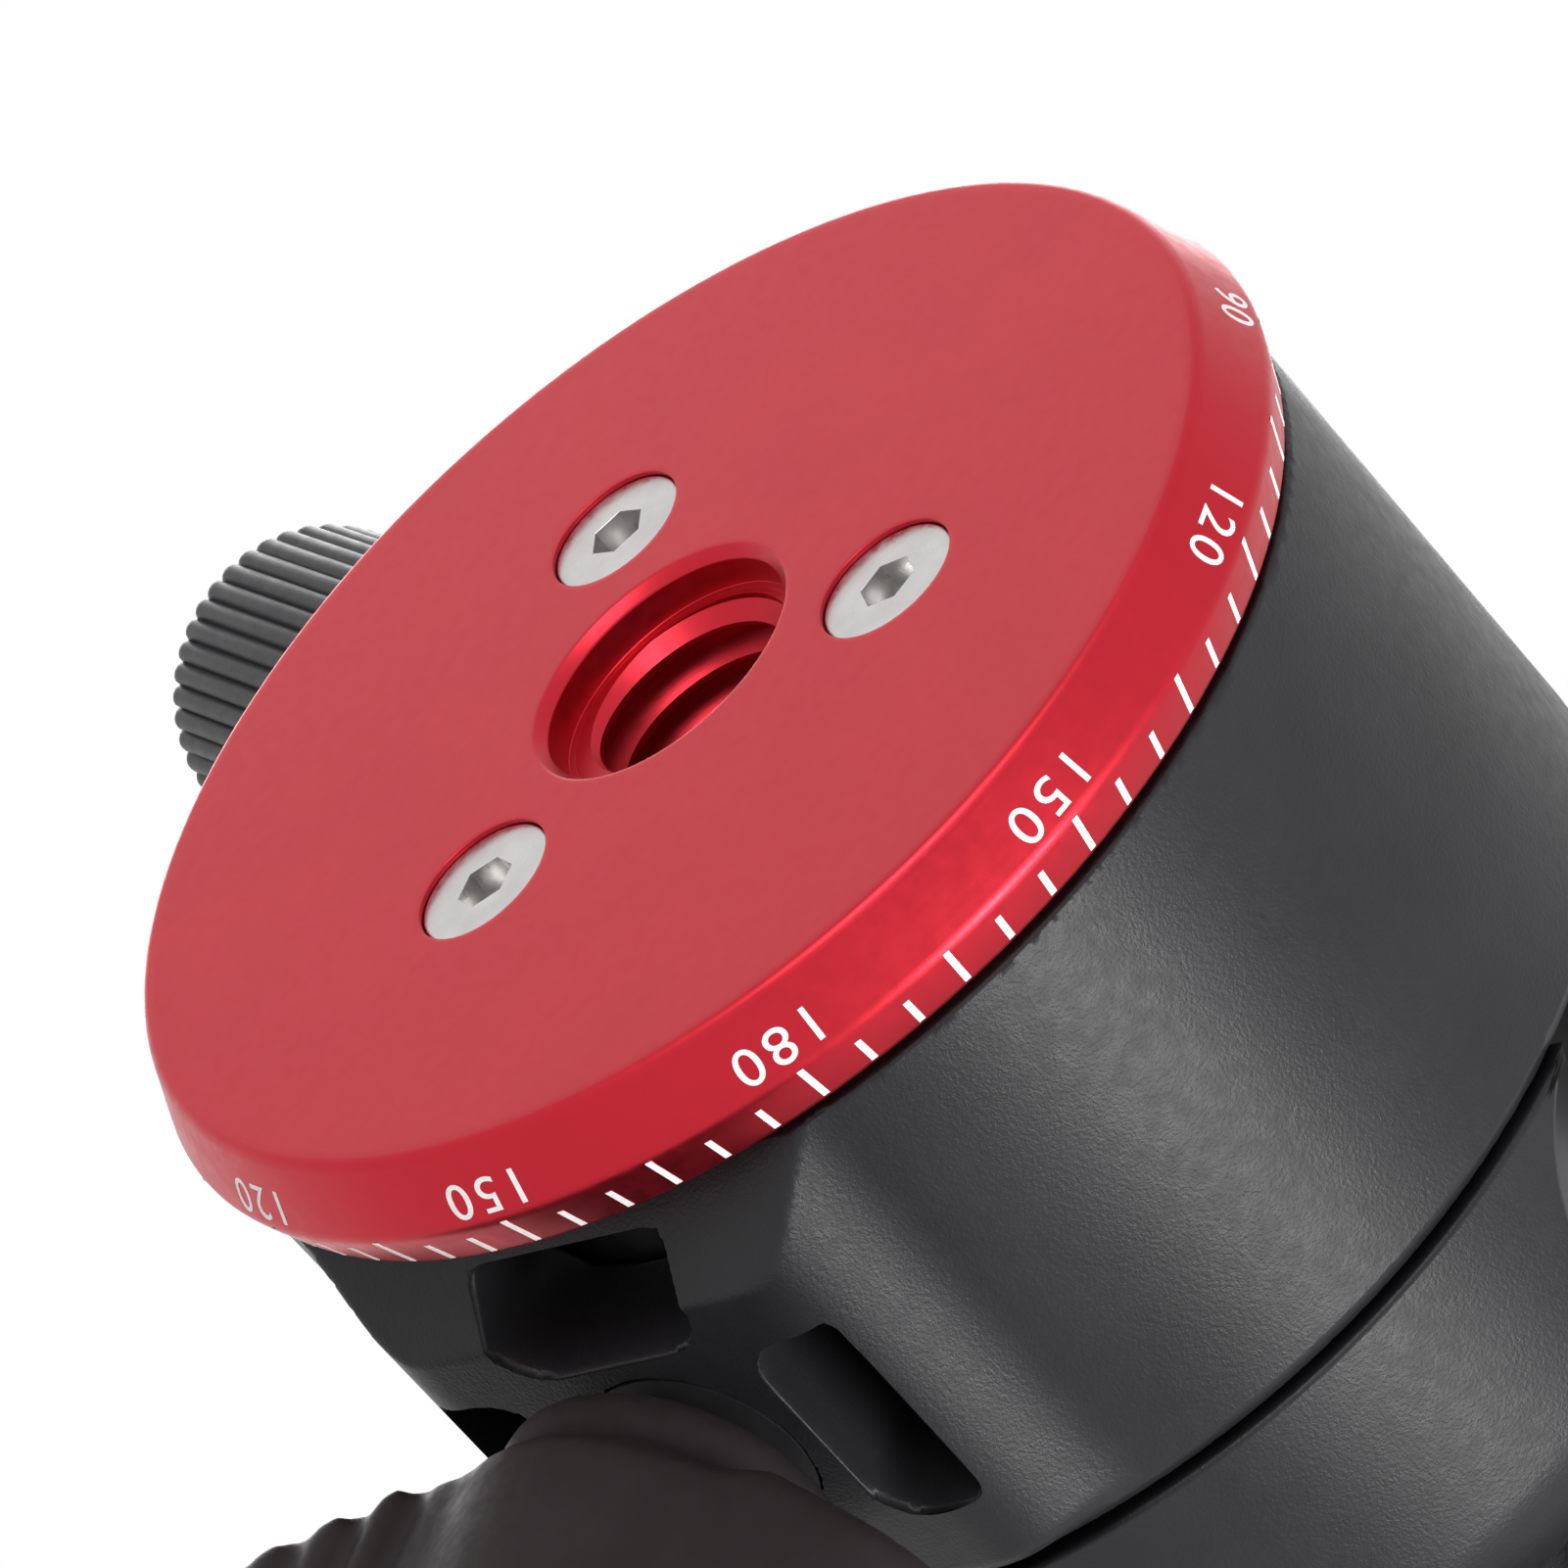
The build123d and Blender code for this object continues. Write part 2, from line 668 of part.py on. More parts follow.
# Main knob: hub, two swept wings with grip grooves
with BuildPart() as main_knob:
    with BuildSketch(wing_plane.offset(knob_hub_x)) as wings:
        SlotOverall(wing_reach * 2, wing_half_w * 2)
        Circle(wing_core_r)
        fillet(
            wings.vertices().filter_by(lambda v: abs(v.X) < wing_core_r), wing_web_r
        )
    extrude(amount=knob_front_x - knob_hub_x)
    fillet(main_knob.faces().sort_by(Axis.X)[-1].edges(), wing_edge)
    for side in (1, -1):
        with BuildSketch(Plane(origin=(0, 0, lock_z), x_dir=(1, 0, 0), z_dir=-wing_plane.y_dir)):
            with BuildLine():
                Polyline(
                    (knob_hub_x, side * wing_core_r),
                    (wing_sweep_x, side * wing_reach),
                    (wing_sweep_x, side * (wing_reach + over)),
                    (knob_hub_x - over, side * (wing_reach + over)),
                    (knob_hub_x - over, side * wing_core_r),
                    close=True,
                )
            make_face()
        extrude(amount=wing_reach, both=True, mode=Mode.SUBTRACT)
        with BuildSketch(wing_plane.offset(knob_back_x)):
            for rib in range(rib_count):
                with Locations((side * (wing_reach - rib_end - rib * rib_pitch), -side * wing_half_w)):
                    Circle(rib_r)
        extrude(amount=knob_front_x - knob_back_x, mode=Mode.SUBTRACT)
    with BuildSketch(lock_plane.offset(knob_back_x)):
        Circle(knob_hub_r)
    extrude(amount=knob_hub_x - knob_back_x + wing_edge)
    chamfer(main_knob.faces().sort_by(Axis.X)[0].edges(), grip_edge)
    with BuildSketch(lock_plane.offset(knob_back_x)):
        Circle(lock_screw_r + run_fit)
    extrude(amount=lock_screw_out + face_gap - knob_back_x, mode=Mode.SUBTRACT)
    with BuildSketch(lock_plane.offset(knob_front_x - cap_t)):
        Circle(cap_r + run_fit)
    extrude(amount=cap_t + over, mode=Mode.SUBTRACT)
save(main_knob.part, "main_knob")

with BuildPart() as knob_cap:
    with BuildSketch(lock_plane.offset(knob_front_x - cap_t)):
        Circle(cap_r)
    extrude(amount=cap_t + cap_proud)
    chamfer(knob_cap.edges().group_by(Axis.X)[-1], cap_proud)
save(knob_cap.part, "knob_cap")

# Pan lock: brass pad, screw and ridged knob
with BuildPart() as pan_pad:
    with BuildSketch(pan_plane.offset(pad_face)):
        Circle(pan_screw_r - face_gap)
    extrude(amount=pan_pad_t)
save(pan_pad.part, "pan_pad")

with BuildPart() as pan_screw:
    with BuildSketch(pan_plane.offset(pan_screw_in)):
        Circle(pan_screw_r)
    extrude(amount=pan_knob_out - grip_metal - pan_screw_in)
save(pan_screw.part, "pan_screw")

pan_knob = grip(
    pan_plane, pan_knob_in, pan_knob_out, pan_knob_out - grip_metal, pan_screw_r, pan_neck_t
)
save(pan_knob, "pan_knob")

# Ball, flat at the neck, bored for the stem's pin
with BuildPart() as ball:
    with Locations((0, 0, ball_z)):
        Sphere(ball_r)
    split(bisect_by=Plane.XY.offset(neck_flat_z), keep=Keep.BOTTOM)
    with BuildSketch(Plane.XY.offset(neck_flat_z)):
        Circle(stem_pin_r + run_fit)
    extrude(amount=-(stem_pin_t + socket_room), mode=Mode.SUBTRACT)
save(ball.part, "ball")

# Stem between ball and clamp
with BuildPart() as stem:
    with BuildSketch(Plane.XY.offset(neck_flat_z - stem_pin_t)):
        Circle(stem_pin_r)
    extrude(amount=stem_pin_t + face_gap)
    with BuildSketch(Plane.XY.offset(neck_flat_z + face_gap)):
        Circle(stem_r)
    extrude(amount=clamp_z - neck_flat_z - face_gap)
    with BuildSketch(Plane.XY.offset(clamp_z)):
        Circle(stem_flange_r)
    extrude(amount=-stem_flange_t)
    with BuildSketch(Plane.XY.offset(clamp_z)):
        Circle(fixing_r + run_fit)
    extrude(amount=-(clamp_z - fixing_end + free_gap), mode=Mode.SUBTRACT)
save(stem.part, "stem")


def jaw_outline(side, split_x):
    """Half of the clamp's section from its split face to one outer face."""
    low = side * (plate_r + plate_gap)
    neck = side * (plate_neck_r + plate_gap)
    foot = floor_z + plate_foot_t + 2 * plate_gap
    return [
        (split_x, clamp_z),
        (side * clamp_out_x, clamp_z),
        (side * clamp_out_x, jaw_top),
        (neck, jaw_top),
        (neck, foot + dove_t),
        (low, foot),
        (low, floor_z),
        (split_x, floor_z),
    ]


# Clamp body with the fixed jaw
with BuildPart() as clamp_body:
    with BuildSketch(Plane.XZ):
        with BuildLine():
            Polyline(*jaw_outline(-1, clamp_split_x), close=True)
        make_face()
    extrude(amount=clamp_half_y, both=True)
    chamfer(clamp_body.faces().sort_by(Axis.X)[0].edges(), clamp_edge)
    with BuildSketch(Plane.XY.offset(floor_z)):
        Circle(fixing_head_r + free_gap)
    extrude(amount=-(fixing_head_t + fixing_sink), mode=Mode.SUBTRACT)
    with BuildSketch(Plane.XY.offset(floor_z)):
        Circle(fixing_r + run_fit)
    extrude(amount=-(clamp_floor + over), mode=Mode.SUBTRACT)
    with BuildSketch(clamp_plane.offset(clamp_split_x - clamp_screw_in - free_gap)):
        Circle(clamp_screw_r + run_fit)
    extrude(amount=clamp_screw_in + over, mode=Mode.SUBTRACT)
    with BuildSketch(clamp_plane.offset(clamp_split_x - pin_in)):
        with Locations((pin_y, 0), (-pin_y, 0)):
            Circle(pin_r + run_fit)
    extrude(amount=pin_in + over, mode=Mode.SUBTRACT)
    with BuildSketch(clamp_plane.offset(clamp_split_x - spring_in)):
        with Locations((pin_y, 0), (-pin_y, 0)):
            Circle(spring_r + run_fit)
    extrude(amount=spring_in + over, mode=Mode.SUBTRACT)
    with BuildSketch(Plane.XY.offset(jaw_top)):
        with Locations((level_x, 0)):
            Circle(level_r + run_fit)
    extrude(amount=-level_t, mode=Mode.SUBTRACT)
save(clamp_body.part, "clamp_body")

# Screw that holds the clamp on the stem
with BuildPart() as fixing_screw:
    with BuildSketch(Plane.XY.offset(fixing_top)):
        Circle(fixing_head_r)
    extrude(amount=-fixing_head_t)
    with BuildSketch(Plane.XY.offset(fixing_end)):
        Circle(fixing_r)
    extrude(amount=fixing_len)
    with BuildSketch(Plane.XY.offset(fixing_top)):
        RegularPolygon(fixing_hex_r, 6)
    extrude(amount=-fixing_hex_t, mode=Mode.SUBTRACT)
save(fixing_screw.part, "fixing_screw")

# Round bubble level in the fixed jaw
with BuildPart() as level_bezel:
    with BuildSketch(Plane.XY.offset(jaw_top - level_t)):
        with Locations((level_x, 0)):
            Circle(level_r)
            Circle(level_r - level_wall, mode=Mode.SUBTRACT)
    extrude(amount=level_t)
save(level_bezel.part, "level_bezel")

with BuildPart() as level_vial:
    with BuildSketch(Plane.XY.offset(jaw_top - level_t)):
        with Locations((level_x, 0)):
            Circle(level_r - level_wall - run_fit)
    extrude(amount=level_t - run_fit)
save(level_vial.part, "level_vial")

# Guide pins pressed into the clamp body
with BuildPart() as guide_pins:
    with BuildSketch(clamp_plane.offset(clamp_split_x - pin_in)):
        with Locations((pin_y, 0), (-pin_y, 0)):
            Circle(pin_r)
    extrude(amount=pin_in + pin_jaw)
save(guide_pins.part, "guide_pins")

# Moving jaw
with BuildPart() as moving_jaw:
    with BuildSketch(Plane.XZ):
        with BuildLine():
            Polyline(*jaw_outline(1, jaw_face_x), close=True)
        make_face()
    extrude(amount=clamp_half_y, both=True)
    chamfer(moving_jaw.faces().sort_by(Axis.X)[-1].edges(), clamp_edge)
    with BuildSketch(clamp_plane.offset(jaw_face_x - over)):
        Circle(clamp_screw_r + run_fit)
    extrude(amount=clamp_out_x, mode=Mode.SUBTRACT)
    with BuildSketch(clamp_plane.offset(jaw_face_x - over)):
        with Locations((pin_y, 0), (-pin_y, 0)):
            Circle(pin_r + run_fit)
    extrude(amount=over + pin_jaw, mode=Mode.SUBTRACT)
    with BuildSketch(clamp_plane.offset(jaw_face_x - over)):
        with Locations((pin_y, 0), (-pin_y, 0)):
            Circle(spring_r + run_fit)
    extrude(amount=over + spring_jaw, mode=Mode.SUBTRACT)
save(moving_jaw.part, "moving_jaw")

# Springs round the guide pins push the jaw open
with BuildPart() as jaw_springs:
    with BuildSketch(clamp_plane.offset(clamp_split_x - spring_in + free_gap)):
        with Locations((pin_y, 0), (-pin_y, 0)):
            Circle(spring_r)
            Circle(spring_r - spring_wall, mode=Mode.SUBTRACT)
    extrude(amount=spring_in + spring_jaw - free_gap)
save(jaw_springs.part, "jaw_springs")

# Clamp screw and its ridged knob
with BuildPart() as clamp_screw:
    with BuildSketch(clamp_plane.offset(clamp_split_x - clamp_screw_in)):
        Circle(clamp_screw_r)
    extrude(amount=clamp_knob_in + clamp_knob_len - grip_metal - clamp_split_x + clamp_screw_in)
save(clamp_screw.part, "clamp_screw")

clamp_knob = grip(
    clamp_plane, clamp_knob_in, clamp_knob_in + clamp_knob_len,
    clamp_knob_in + clamp_knob_len - grip_metal, clamp_screw_r, clamp_neck_t,
)
save(clamp_knob, "clamp_knob")

# Quick-release plate: dovetail, slab, screw slot and well
with BuildPart() as qr_plate:
    with BuildSketch(Plane.XZ):
        with BuildLine():
            Polyline(
                (0, plate_z),
                (plate_r, plate_z),
                (plate_r, plate_z + plate_foot_t),
                (plate_neck_r, neck_z),
                (plate_neck_r, slab_z),
                (plate_r, slab_z),
                (plate_r, plate_top),
                (0, plate_top),
                close=True,
            )
        make_face()
        mirror(about=Plane.YZ)
    extrude(amount=plate_half_y, both=True)
    chamfer(qr_plate.faces().sort_by(Axis.Z)[-1].edges(), plate_edge)
    with BuildSketch(Plane.XY.offset(plate_z)):
        SlotCenterToCenter(plate_slot_half * 2, plate_slot_r * 2, rotation=90)
    extrude(amount=plate_top - plate_z + over, mode=Mode.SUBTRACT)
    with BuildSketch(Plane.XY.offset(plate_z)):
        SlotCenterToCenter(plate_slot_half * 2, plate_well_r * 2, rotation=90)
    extrude(amount=well_top - plate_z, mode=Mode.SUBTRACT)
    with BuildSketch(Plane.XY.offset(plate_top)) as pad_sketch:
        with Locations(
            ((pad_outer_x + pad_inner_x) / 2, 0), (-(pad_outer_x + pad_inner_x) / 2, 0)
        ):
            Rectangle(pad_outer_x - pad_inner_x, (plate_half_y - pad_end) * 2)
    extrude(amount=-pad_sink, mode=Mode.SUBTRACT)
save(qr_plate.part, "qr_plate")

# Rubber pads let into the plate
with BuildPart() as plate_pads:
    with BuildSketch(Plane.XY.offset(plate_top - pad_sink)):
        add(pad_sketch.sketch.moved(Location((0, 0, -plate_top))))
        offset(amount=-run_fit, mode=Mode.REPLACE)
    extrude(amount=pad_t)
save(plate_pads.part, "plate_pads")

# Camera screw and the clip that keeps it in the slot
with BuildPart() as camera_screw:
    with BuildSketch(Plane.XY.offset(camera_head_z)):
        Circle(camera_head_r)
    extrude(amount=camera_head_t)
    with BuildSketch(Plane.XY.offset(camera_head_z)):
        Circle(camera_neck_r)
    extrude(amount=camera_thread_z - camera_head_z)
    with BuildSketch(Plane.XY.offset(camera_thread_z)):
        Circle(camera_screw_r)
    extrude(amount=plate_top + camera_screw_out - camera_thread_z)
    chamfer(camera_screw.edges().group_by(Axis.Z)[-1], grip_edge)
    with BuildSketch(Plane.XY.offset(camera_head_z)):
        Rectangle(camera_head_r * 2 + over, camera_slot_w)
    extrude(amount=camera_slot_t, mode=Mode.SUBTRACT)
save(camera_screw.part, "camera_screw")

with BuildPart() as screw_clip:
    with BuildSketch(Plane.XY.offset(clip_z)):
        Circle(clip_r)
        Circle(camera_neck_r + run_fit, mode=Mode.SUBTRACT)
    extrude(amount=clip_t)
save(screw_clip.part, "screw_clip")
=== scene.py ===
import json
import math

import bmesh
import bpy
from bpy.props import (
    FloatProperty, FloatVectorProperty, IntProperty, PointerProperty,
)
from mathutils import Euler, Matrix, Vector

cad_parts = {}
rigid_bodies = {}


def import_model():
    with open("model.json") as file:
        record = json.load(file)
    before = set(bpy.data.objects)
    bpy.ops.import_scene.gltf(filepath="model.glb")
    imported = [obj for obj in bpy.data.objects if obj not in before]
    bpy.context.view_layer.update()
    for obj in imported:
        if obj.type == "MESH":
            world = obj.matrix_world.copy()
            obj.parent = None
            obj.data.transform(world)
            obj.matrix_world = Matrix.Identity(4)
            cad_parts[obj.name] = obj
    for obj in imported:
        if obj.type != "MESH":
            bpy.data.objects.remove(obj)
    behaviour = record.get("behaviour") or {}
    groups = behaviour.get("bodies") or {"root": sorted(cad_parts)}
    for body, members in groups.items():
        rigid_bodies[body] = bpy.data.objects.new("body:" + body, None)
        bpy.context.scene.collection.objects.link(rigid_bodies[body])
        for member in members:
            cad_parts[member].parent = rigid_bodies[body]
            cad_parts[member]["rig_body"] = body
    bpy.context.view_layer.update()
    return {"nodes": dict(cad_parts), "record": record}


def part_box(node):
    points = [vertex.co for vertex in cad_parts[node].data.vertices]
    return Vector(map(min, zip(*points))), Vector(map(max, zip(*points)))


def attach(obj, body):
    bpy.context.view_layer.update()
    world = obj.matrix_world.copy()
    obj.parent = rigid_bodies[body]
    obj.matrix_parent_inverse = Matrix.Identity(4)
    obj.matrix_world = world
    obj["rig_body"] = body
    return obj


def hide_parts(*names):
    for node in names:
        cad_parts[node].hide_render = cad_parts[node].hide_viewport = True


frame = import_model()

bl_info = {
    "name": "Ball Head Finisher",
    "version": (1, 0, 0),
    "blender": (4, 5, 0),
    "location": "View3D > Sidebar > Ball Head",
    "description": "Dresses the packed ball head with turned, threaded, knurled and marked pieces",
    "category": "Object",
}

MM = 0.001
FULL_TURN = 2 * math.pi
WELD = 1e-6               # points closer than this are one point
HAIR = 0.01 * MM          # just enough to keep two faces apart
NEARLY_HALF = 1 / 2.2     # most of a side that the rounding of one corner takes
EDGE_ANGLE = math.radians(32)     # edges that turn by more than this are rounded
LARGE, MIDDLE, SMALL = 192, 96, 48    # faces round a large, a middling and a small piece


# Settings

def length(title, note, value):
    """A length in metres, given in millimetres."""
    return FloatProperty(
        name=title, description=note, default=value * MM, min=0.0, precision=5,
        unit="LENGTH", subtype="DISTANCE",
    )


def turn(title, note, value):
    """An angle in radians."""
    return FloatProperty(
        name=title, description=note, default=value, unit="ROTATION", subtype="ANGLE",
    )


def ratio(title, note, value):
    """A plain number."""
    return FloatProperty(name=title, description=note, default=value)


def count(title, note, value):
    """A whole number of things or steps."""
    return IntProperty(name=title, description=note, default=value, min=1)


def place(title, note, value):
    """A point in metres."""
    return FloatVectorProperty(
        name=title, description=note, default=value, size=3, unit="LENGTH", subtype="XYZ",
    )


def colour(title, note, value):
    """A linear colour of a coating or paint."""
    return FloatVectorProperty(
        name=title, description=note, default=value, size=3, min=0.0, max=1.0, subtype="COLOR",
    )


class BaseSettings(bpy.types.PropertyGroup):
    disc_edge: length("Disc edge", "Rounding of the base disc's edges", 0.3)
    shoulder: length("Shoulder", "Size of the rounded shoulder round the mounting face", 0.5)
    support: length("Face margin", "Flat ring round every opening of the mounting face", 0.25)
    mouth_r: length("Mouth radius", "Radius of the thread's mouth", 5.72)
    mouth_t: length("Mouth depth", "Depth of the mouth's bevel", 0.4)
    entry_r: length("Entry radius", "Radius of the plain entry bore", 5.32)
    shelf_z: length("Entry depth", "Depth of the plain entry bore", 1.65)
    bore_z: length("Thread end", "Blind end of the thread", 11.2)
    spigot_r: length("Spigot radius", "Radius of the boss inside", 7.0)
    spigot_z: length("Spigot top", "Height of the boss inside", 12.6)
    crest_r: length("Crest radius", "Radius over the crests of the tripod thread", 4.05)
    root_r: length("Root radius", "Radius at the roots of the tripod thread", 4.76)
    wall_r: length("Bore radius", "Radius of the bore behind the thread", 5.0)
    pitch: length("Thread pitch", "Rise of the tripod thread in one turn", 1.5875)
    band_low_r: length("Band foot radius", "Radius of the scale band at its foot", 25.0)
    band_low_z: length("Band foot", "Height of the scale band's foot", 2.9)
    band_high_r: length("Band head radius", "Radius of the scale band at its head", 24.2)
    band_high_z: length("Band head", "Height of the scale band's head", 5.0)
    bevel_low_r: length("Bevel foot radius", "Radius of the numbered bevel at its foot", 23.9)
    bevel_low_z: length("Bevel foot", "Height of the numbered bevel's foot", 0.25)
    tick_head: length("Tick head", "Height at which every tick starts", 4.74)
    short_foot: length("Short tick foot", "Height at which a short tick ends", 3.5)
    long_foot: length("Long tick foot", "Height at which a long tick ends", 2.98)
    tick_w: length("Tick width", "Width of a tick", 0.27)
    mark_t: length("Paint thickness", "How far the paint stands out", 0.015)
    digit_h: length("Digit height", "Height of the numbers", 1.36)
    digit_rise: length("Digit rise", "Slope left free under the numbers", 1.15)
    digit_wide: ratio("Digit width", "Width of the numbers over the font's own", 1.12)
    digit_space: ratio("Digit spacing", "Spacing of the digits over the font's own", 1.2)
    tick_count: count("Ticks", "Ticks all the way round", 72)
    long_every: count("Long ticks", "One tick in so many is a long one", 3)
    number_count: count("Numbers", "Numbers all the way round", 12)
    top_number: count("Top number", "The largest number, from which they fall both ways", 180)
    top_side: turn("Scale turn", "Azimuth of the largest number", math.radians(-34))
    seat_soft: length("Seat edges", "Rounding of the edges of the screw seats", 0.04)
    mouth_soft: length("Mouth edges", "Rounding of the edges of the thread's mouth", 0.07)


class ScrewSettings(bpy.types.PropertyGroup):
    circle_r: length("Screw circle", "Radius of the circle of the three screws", 10.58)
    first: turn("First screw", "Azimuth of the first screw", math.radians(143.5))
    number: count("Screws", "Screws in the base", 3)
    socket_turn: turn("Socket turn", "Turn of the first screw's socket", 0.3)
    socket_step: turn("Socket step", "Turn from one screw's socket to the next one's", 0.7)
    head_r: length("Head radius", "Radius of a countersunk head", 2.8)
    shank_r: length("Shank radius", "Radius of a screw's shank", 1.45)
    rim: length("Head rim", "Plain rim of a head", 0.12)
    play: length("Seat play", "Gap between a head and its seat", 0.05)
    edge: length("Head edge", "Rounding of a head's edge", 0.1)
    hex_r: length("Socket radius", "Corner radius of the hexagon socket", 1.22)
    hex_t: length("Socket depth", "Depth of the hexagon socket", 1.3)


class CasingSettings(bpy.types.PropertyGroup):
    collar_edge: length("Collar edge", "Rounding of the collar's edges", 0.3)
    grain: length("Casing grain", "Size of the shell's faces", 0.3)
    soft_passes: count("Soft passes", "Smoothing of the shell", 2)
    wall_r: length("Wall radius", "Radius of the shell's round wall", 24.1)
    skin: length("Skin", "Depth in which the wall is reshaped", 0.3)
    lock_z: length("Lock axis", "Height of the ball lock's axis", 16.7)
    boss_r: length("Boss radius", "Radius of the plain boss's face", 10.4)
    boss_flare: length("Boss flare", "Widening of the plain boss to its foot", 2.4)
    bore_r: length("Bore radius", "Radius of the shell's bore", 20.6)
    ledge_r: length("Ledge radius", "Inner radius of the ledge under the lift ring", 19.1)
    ledge_z: length("Ledge height", "Height of the ledge under the lift ring", 16.1)
    soft_y: length("Pad half width", "Distance from the lock axis at which the pad falls off", 7.4)
    blend_y: length("Pad foot", "Distance from the lock axis at which the pad has run out", 13.2)
    pad_top: length("Pad top", "Height at which the pad ends", 25.6)
    pad_end: length("Pad end", "Height over which the pad's top is rounded", 1.2)
    boss_x: length("Boss face", "Distance from the pan axis to the boss's face", 24.3)
    facet_z: length("Facet edge", "Height of the lower facet's upper edge", 9.3)
    facet_slope: ratio("Facet slope", "Run of the lower facet over its height", 0.85)


class KnobSettings(bpy.types.PropertyGroup):
    soft_passes: count("Soft passes", "Smoothing of the main knob", 14)
    grain: length("Knob grain", "Size of the main knob's faces", 0.3)
    plump: length("Plumpness", "What smoothing took off the main knob", 0.1)
    lock_z: length("Lock axis", "Height of the main knob's axis", 16.7)
    narrow: ratio("Narrowing", "Width over the plain knob's", 0.96)
    shorten: ratio("Shortening", "Length over the plain knob's", 0.985)
    cap_edge: length("Cap edge", "Rounding of the edges of the main knob's cap", 0.2)
    ridge_count: count("Ridges", "Ridges round a ridged knob", 42)
    ridge_faces: count("Ridge faces", "Faces across one ridge", 6)
    ridge_shape: ratio("Ridge shape", "Power of the ridges' wave, lower is rounder", 0.5)
    ridge_t: length("Ridge height", "Height of the ridges", 0.36)
    grip_r: length("Grip radius", "Radius over the ridges", 6.5)
    neck_r: length("Neck radius", "Radius of the neck", 4.6)
    screw_r: length("Screw radius", "Radius of the screw that enters the neck", 3.0)
    end_round: length("End rounding", "Rounding at both ends of the grip", 0.7)
    foot_rim: length("Foot rim", "Plain rim between the neck's side and the ridges", 0.5)
    face_rim: length("Face rim", "Flat rim round the dished face", 0.9)
    dish_t: length("Dish depth", "Depth of the dished face", 0.4)
    bore_t: length("Bore depth", "Depth of the bore in the neck", 8.0)
    bore_play: length("Bore play", "Gap between the bore and its screw", 0.05)
    pan_side: turn("Pan knob side", "Azimuth of the pan knob", math.radians(118))
    pan_z: length("Pan knob height", "Height of the pan knob's axis", 12.2)
    pan_in: length("Pan neck", "Distance from the pan axis to the neck's end", 24.5)
    pan_grip: length("Pan grip start", "Distance from the pan axis to the grip", 26.7)
    pan_out: length("Pan grip end", "Distance from the pan axis to the knob's face", 43.9)
    clamp_z: length("Clamp knob height", "Height of the clamp knob's axis", 66.3)
    clamp_in: length("Clamp neck", "Distance to the end of the clamp knob's neck", 26.1)
    clamp_grip: length("Clamp grip start", "Distance to the clamp knob's grip", 27.5)
    clamp_out: length("Clamp grip end", "Distance to the clamp knob's face", 39.5)
    clamp_screw_r: length("Clamp screw radius", "Radius of the clamp screw", 2.5)


class ClampSettings(bpy.types.PropertyGroup):
    body_edge: length("Clamp edge", "Rounding of the clamp's edges", 0.35)
    plate_edge: length("Plate edge", "Rounding of the plate's edges", 0.25)
    cover_play: length("Cover play", "How far round the pads the plate's edges stay square", 0.3)
    ball_edge: length("Ball edge", "Rounding of the edges of the ball and its stem", 0.3)
    wire_r: length("Spring wire", "Radius of the jaw springs' wire", 0.3)
    coils: count("Spring coils", "Coils of a jaw spring", 6)
    coil_steps: count("Coil steps", "Steps in one coil", 24)
    rib_pitch: length("Rib pitch", "Spacing of the ribs of the rubber pads", 1.05)
    rib_t: length("Rib height", "Height of the ribs of the rubber pads", 0.25)
    rib_share: ratio("Rib share", "Half width of a rib over the spacing", 0.42)
    pad_inner: length("Pad inner edge", "Distance from the middle to a rubber pad", 5.5)
    bezel_edge: length("Bezel edge", "Rounding of the level's bezel", 0.15)
    dome_t: length("Dome height", "Height of the domed top of the level's glass", 0.35)
    bubble_r: length("Bubble radius", "Radius of the level's bubble", 1.1)
    bubble_flat: ratio("Bubble flatness", "Height of the bubble over its width", 0.2)
    bubble_x: length("Bubble across", "How far the bubble lies off the middle, along X", 0.3)
    bubble_y: length("Bubble along", "How far the bubble lies off the middle, along Y", 0.2)
    bubble_t: length("Bubble depth", "Depth of the bubble under the dome's foot", 0.05)
    level_ring_r: length("Level ring", "Radius of the level's painted ring", 1.45)
    level_line: length("Level line", "Half width of the level's painted ring", 0.07)
    camera_pitch: length("Camera thread pitch", "Rise of the camera thread in one turn", 1.27)
    camera_crest_r: length("Camera crest radius", "Radius over the camera thread", 3.1)
    camera_root_r: length("Camera root radius", "Radius at the camera thread's roots", 2.5)
    camera_core_r: length("Camera core radius", "Radius of the core under the thread", 2.4)
    camera_thread_z: length("Camera thread start", "Height at which the thread starts", 80.1)
    camera_end: length("Camera screw end", "Plain end above the camera thread", 0.4)
    camera_edge: length("Camera screw edge", "Rounding of the camera screw's edges", 0.2)


class FinishSettings(bpy.types.PropertyGroup):
    red: colour("Red", "Anodised coating of the base", (0.49, 0.021, 0.034))
    coating: colour("Black", "Coating of casing, clamp and plate", (0.016, 0.0155, 0.0175))
    grip: colour("Grip", "Moulded grip of the main knob", (0.013, 0.0105, 0.011))
    knurl: colour("Ridged knobs", "Coating of the two ridged knobs", (0.03, 0.03, 0.033))
    marks: colour("Mark paint", "Paint in the ticks and numbers", (0.86, 0.84, 0.84))


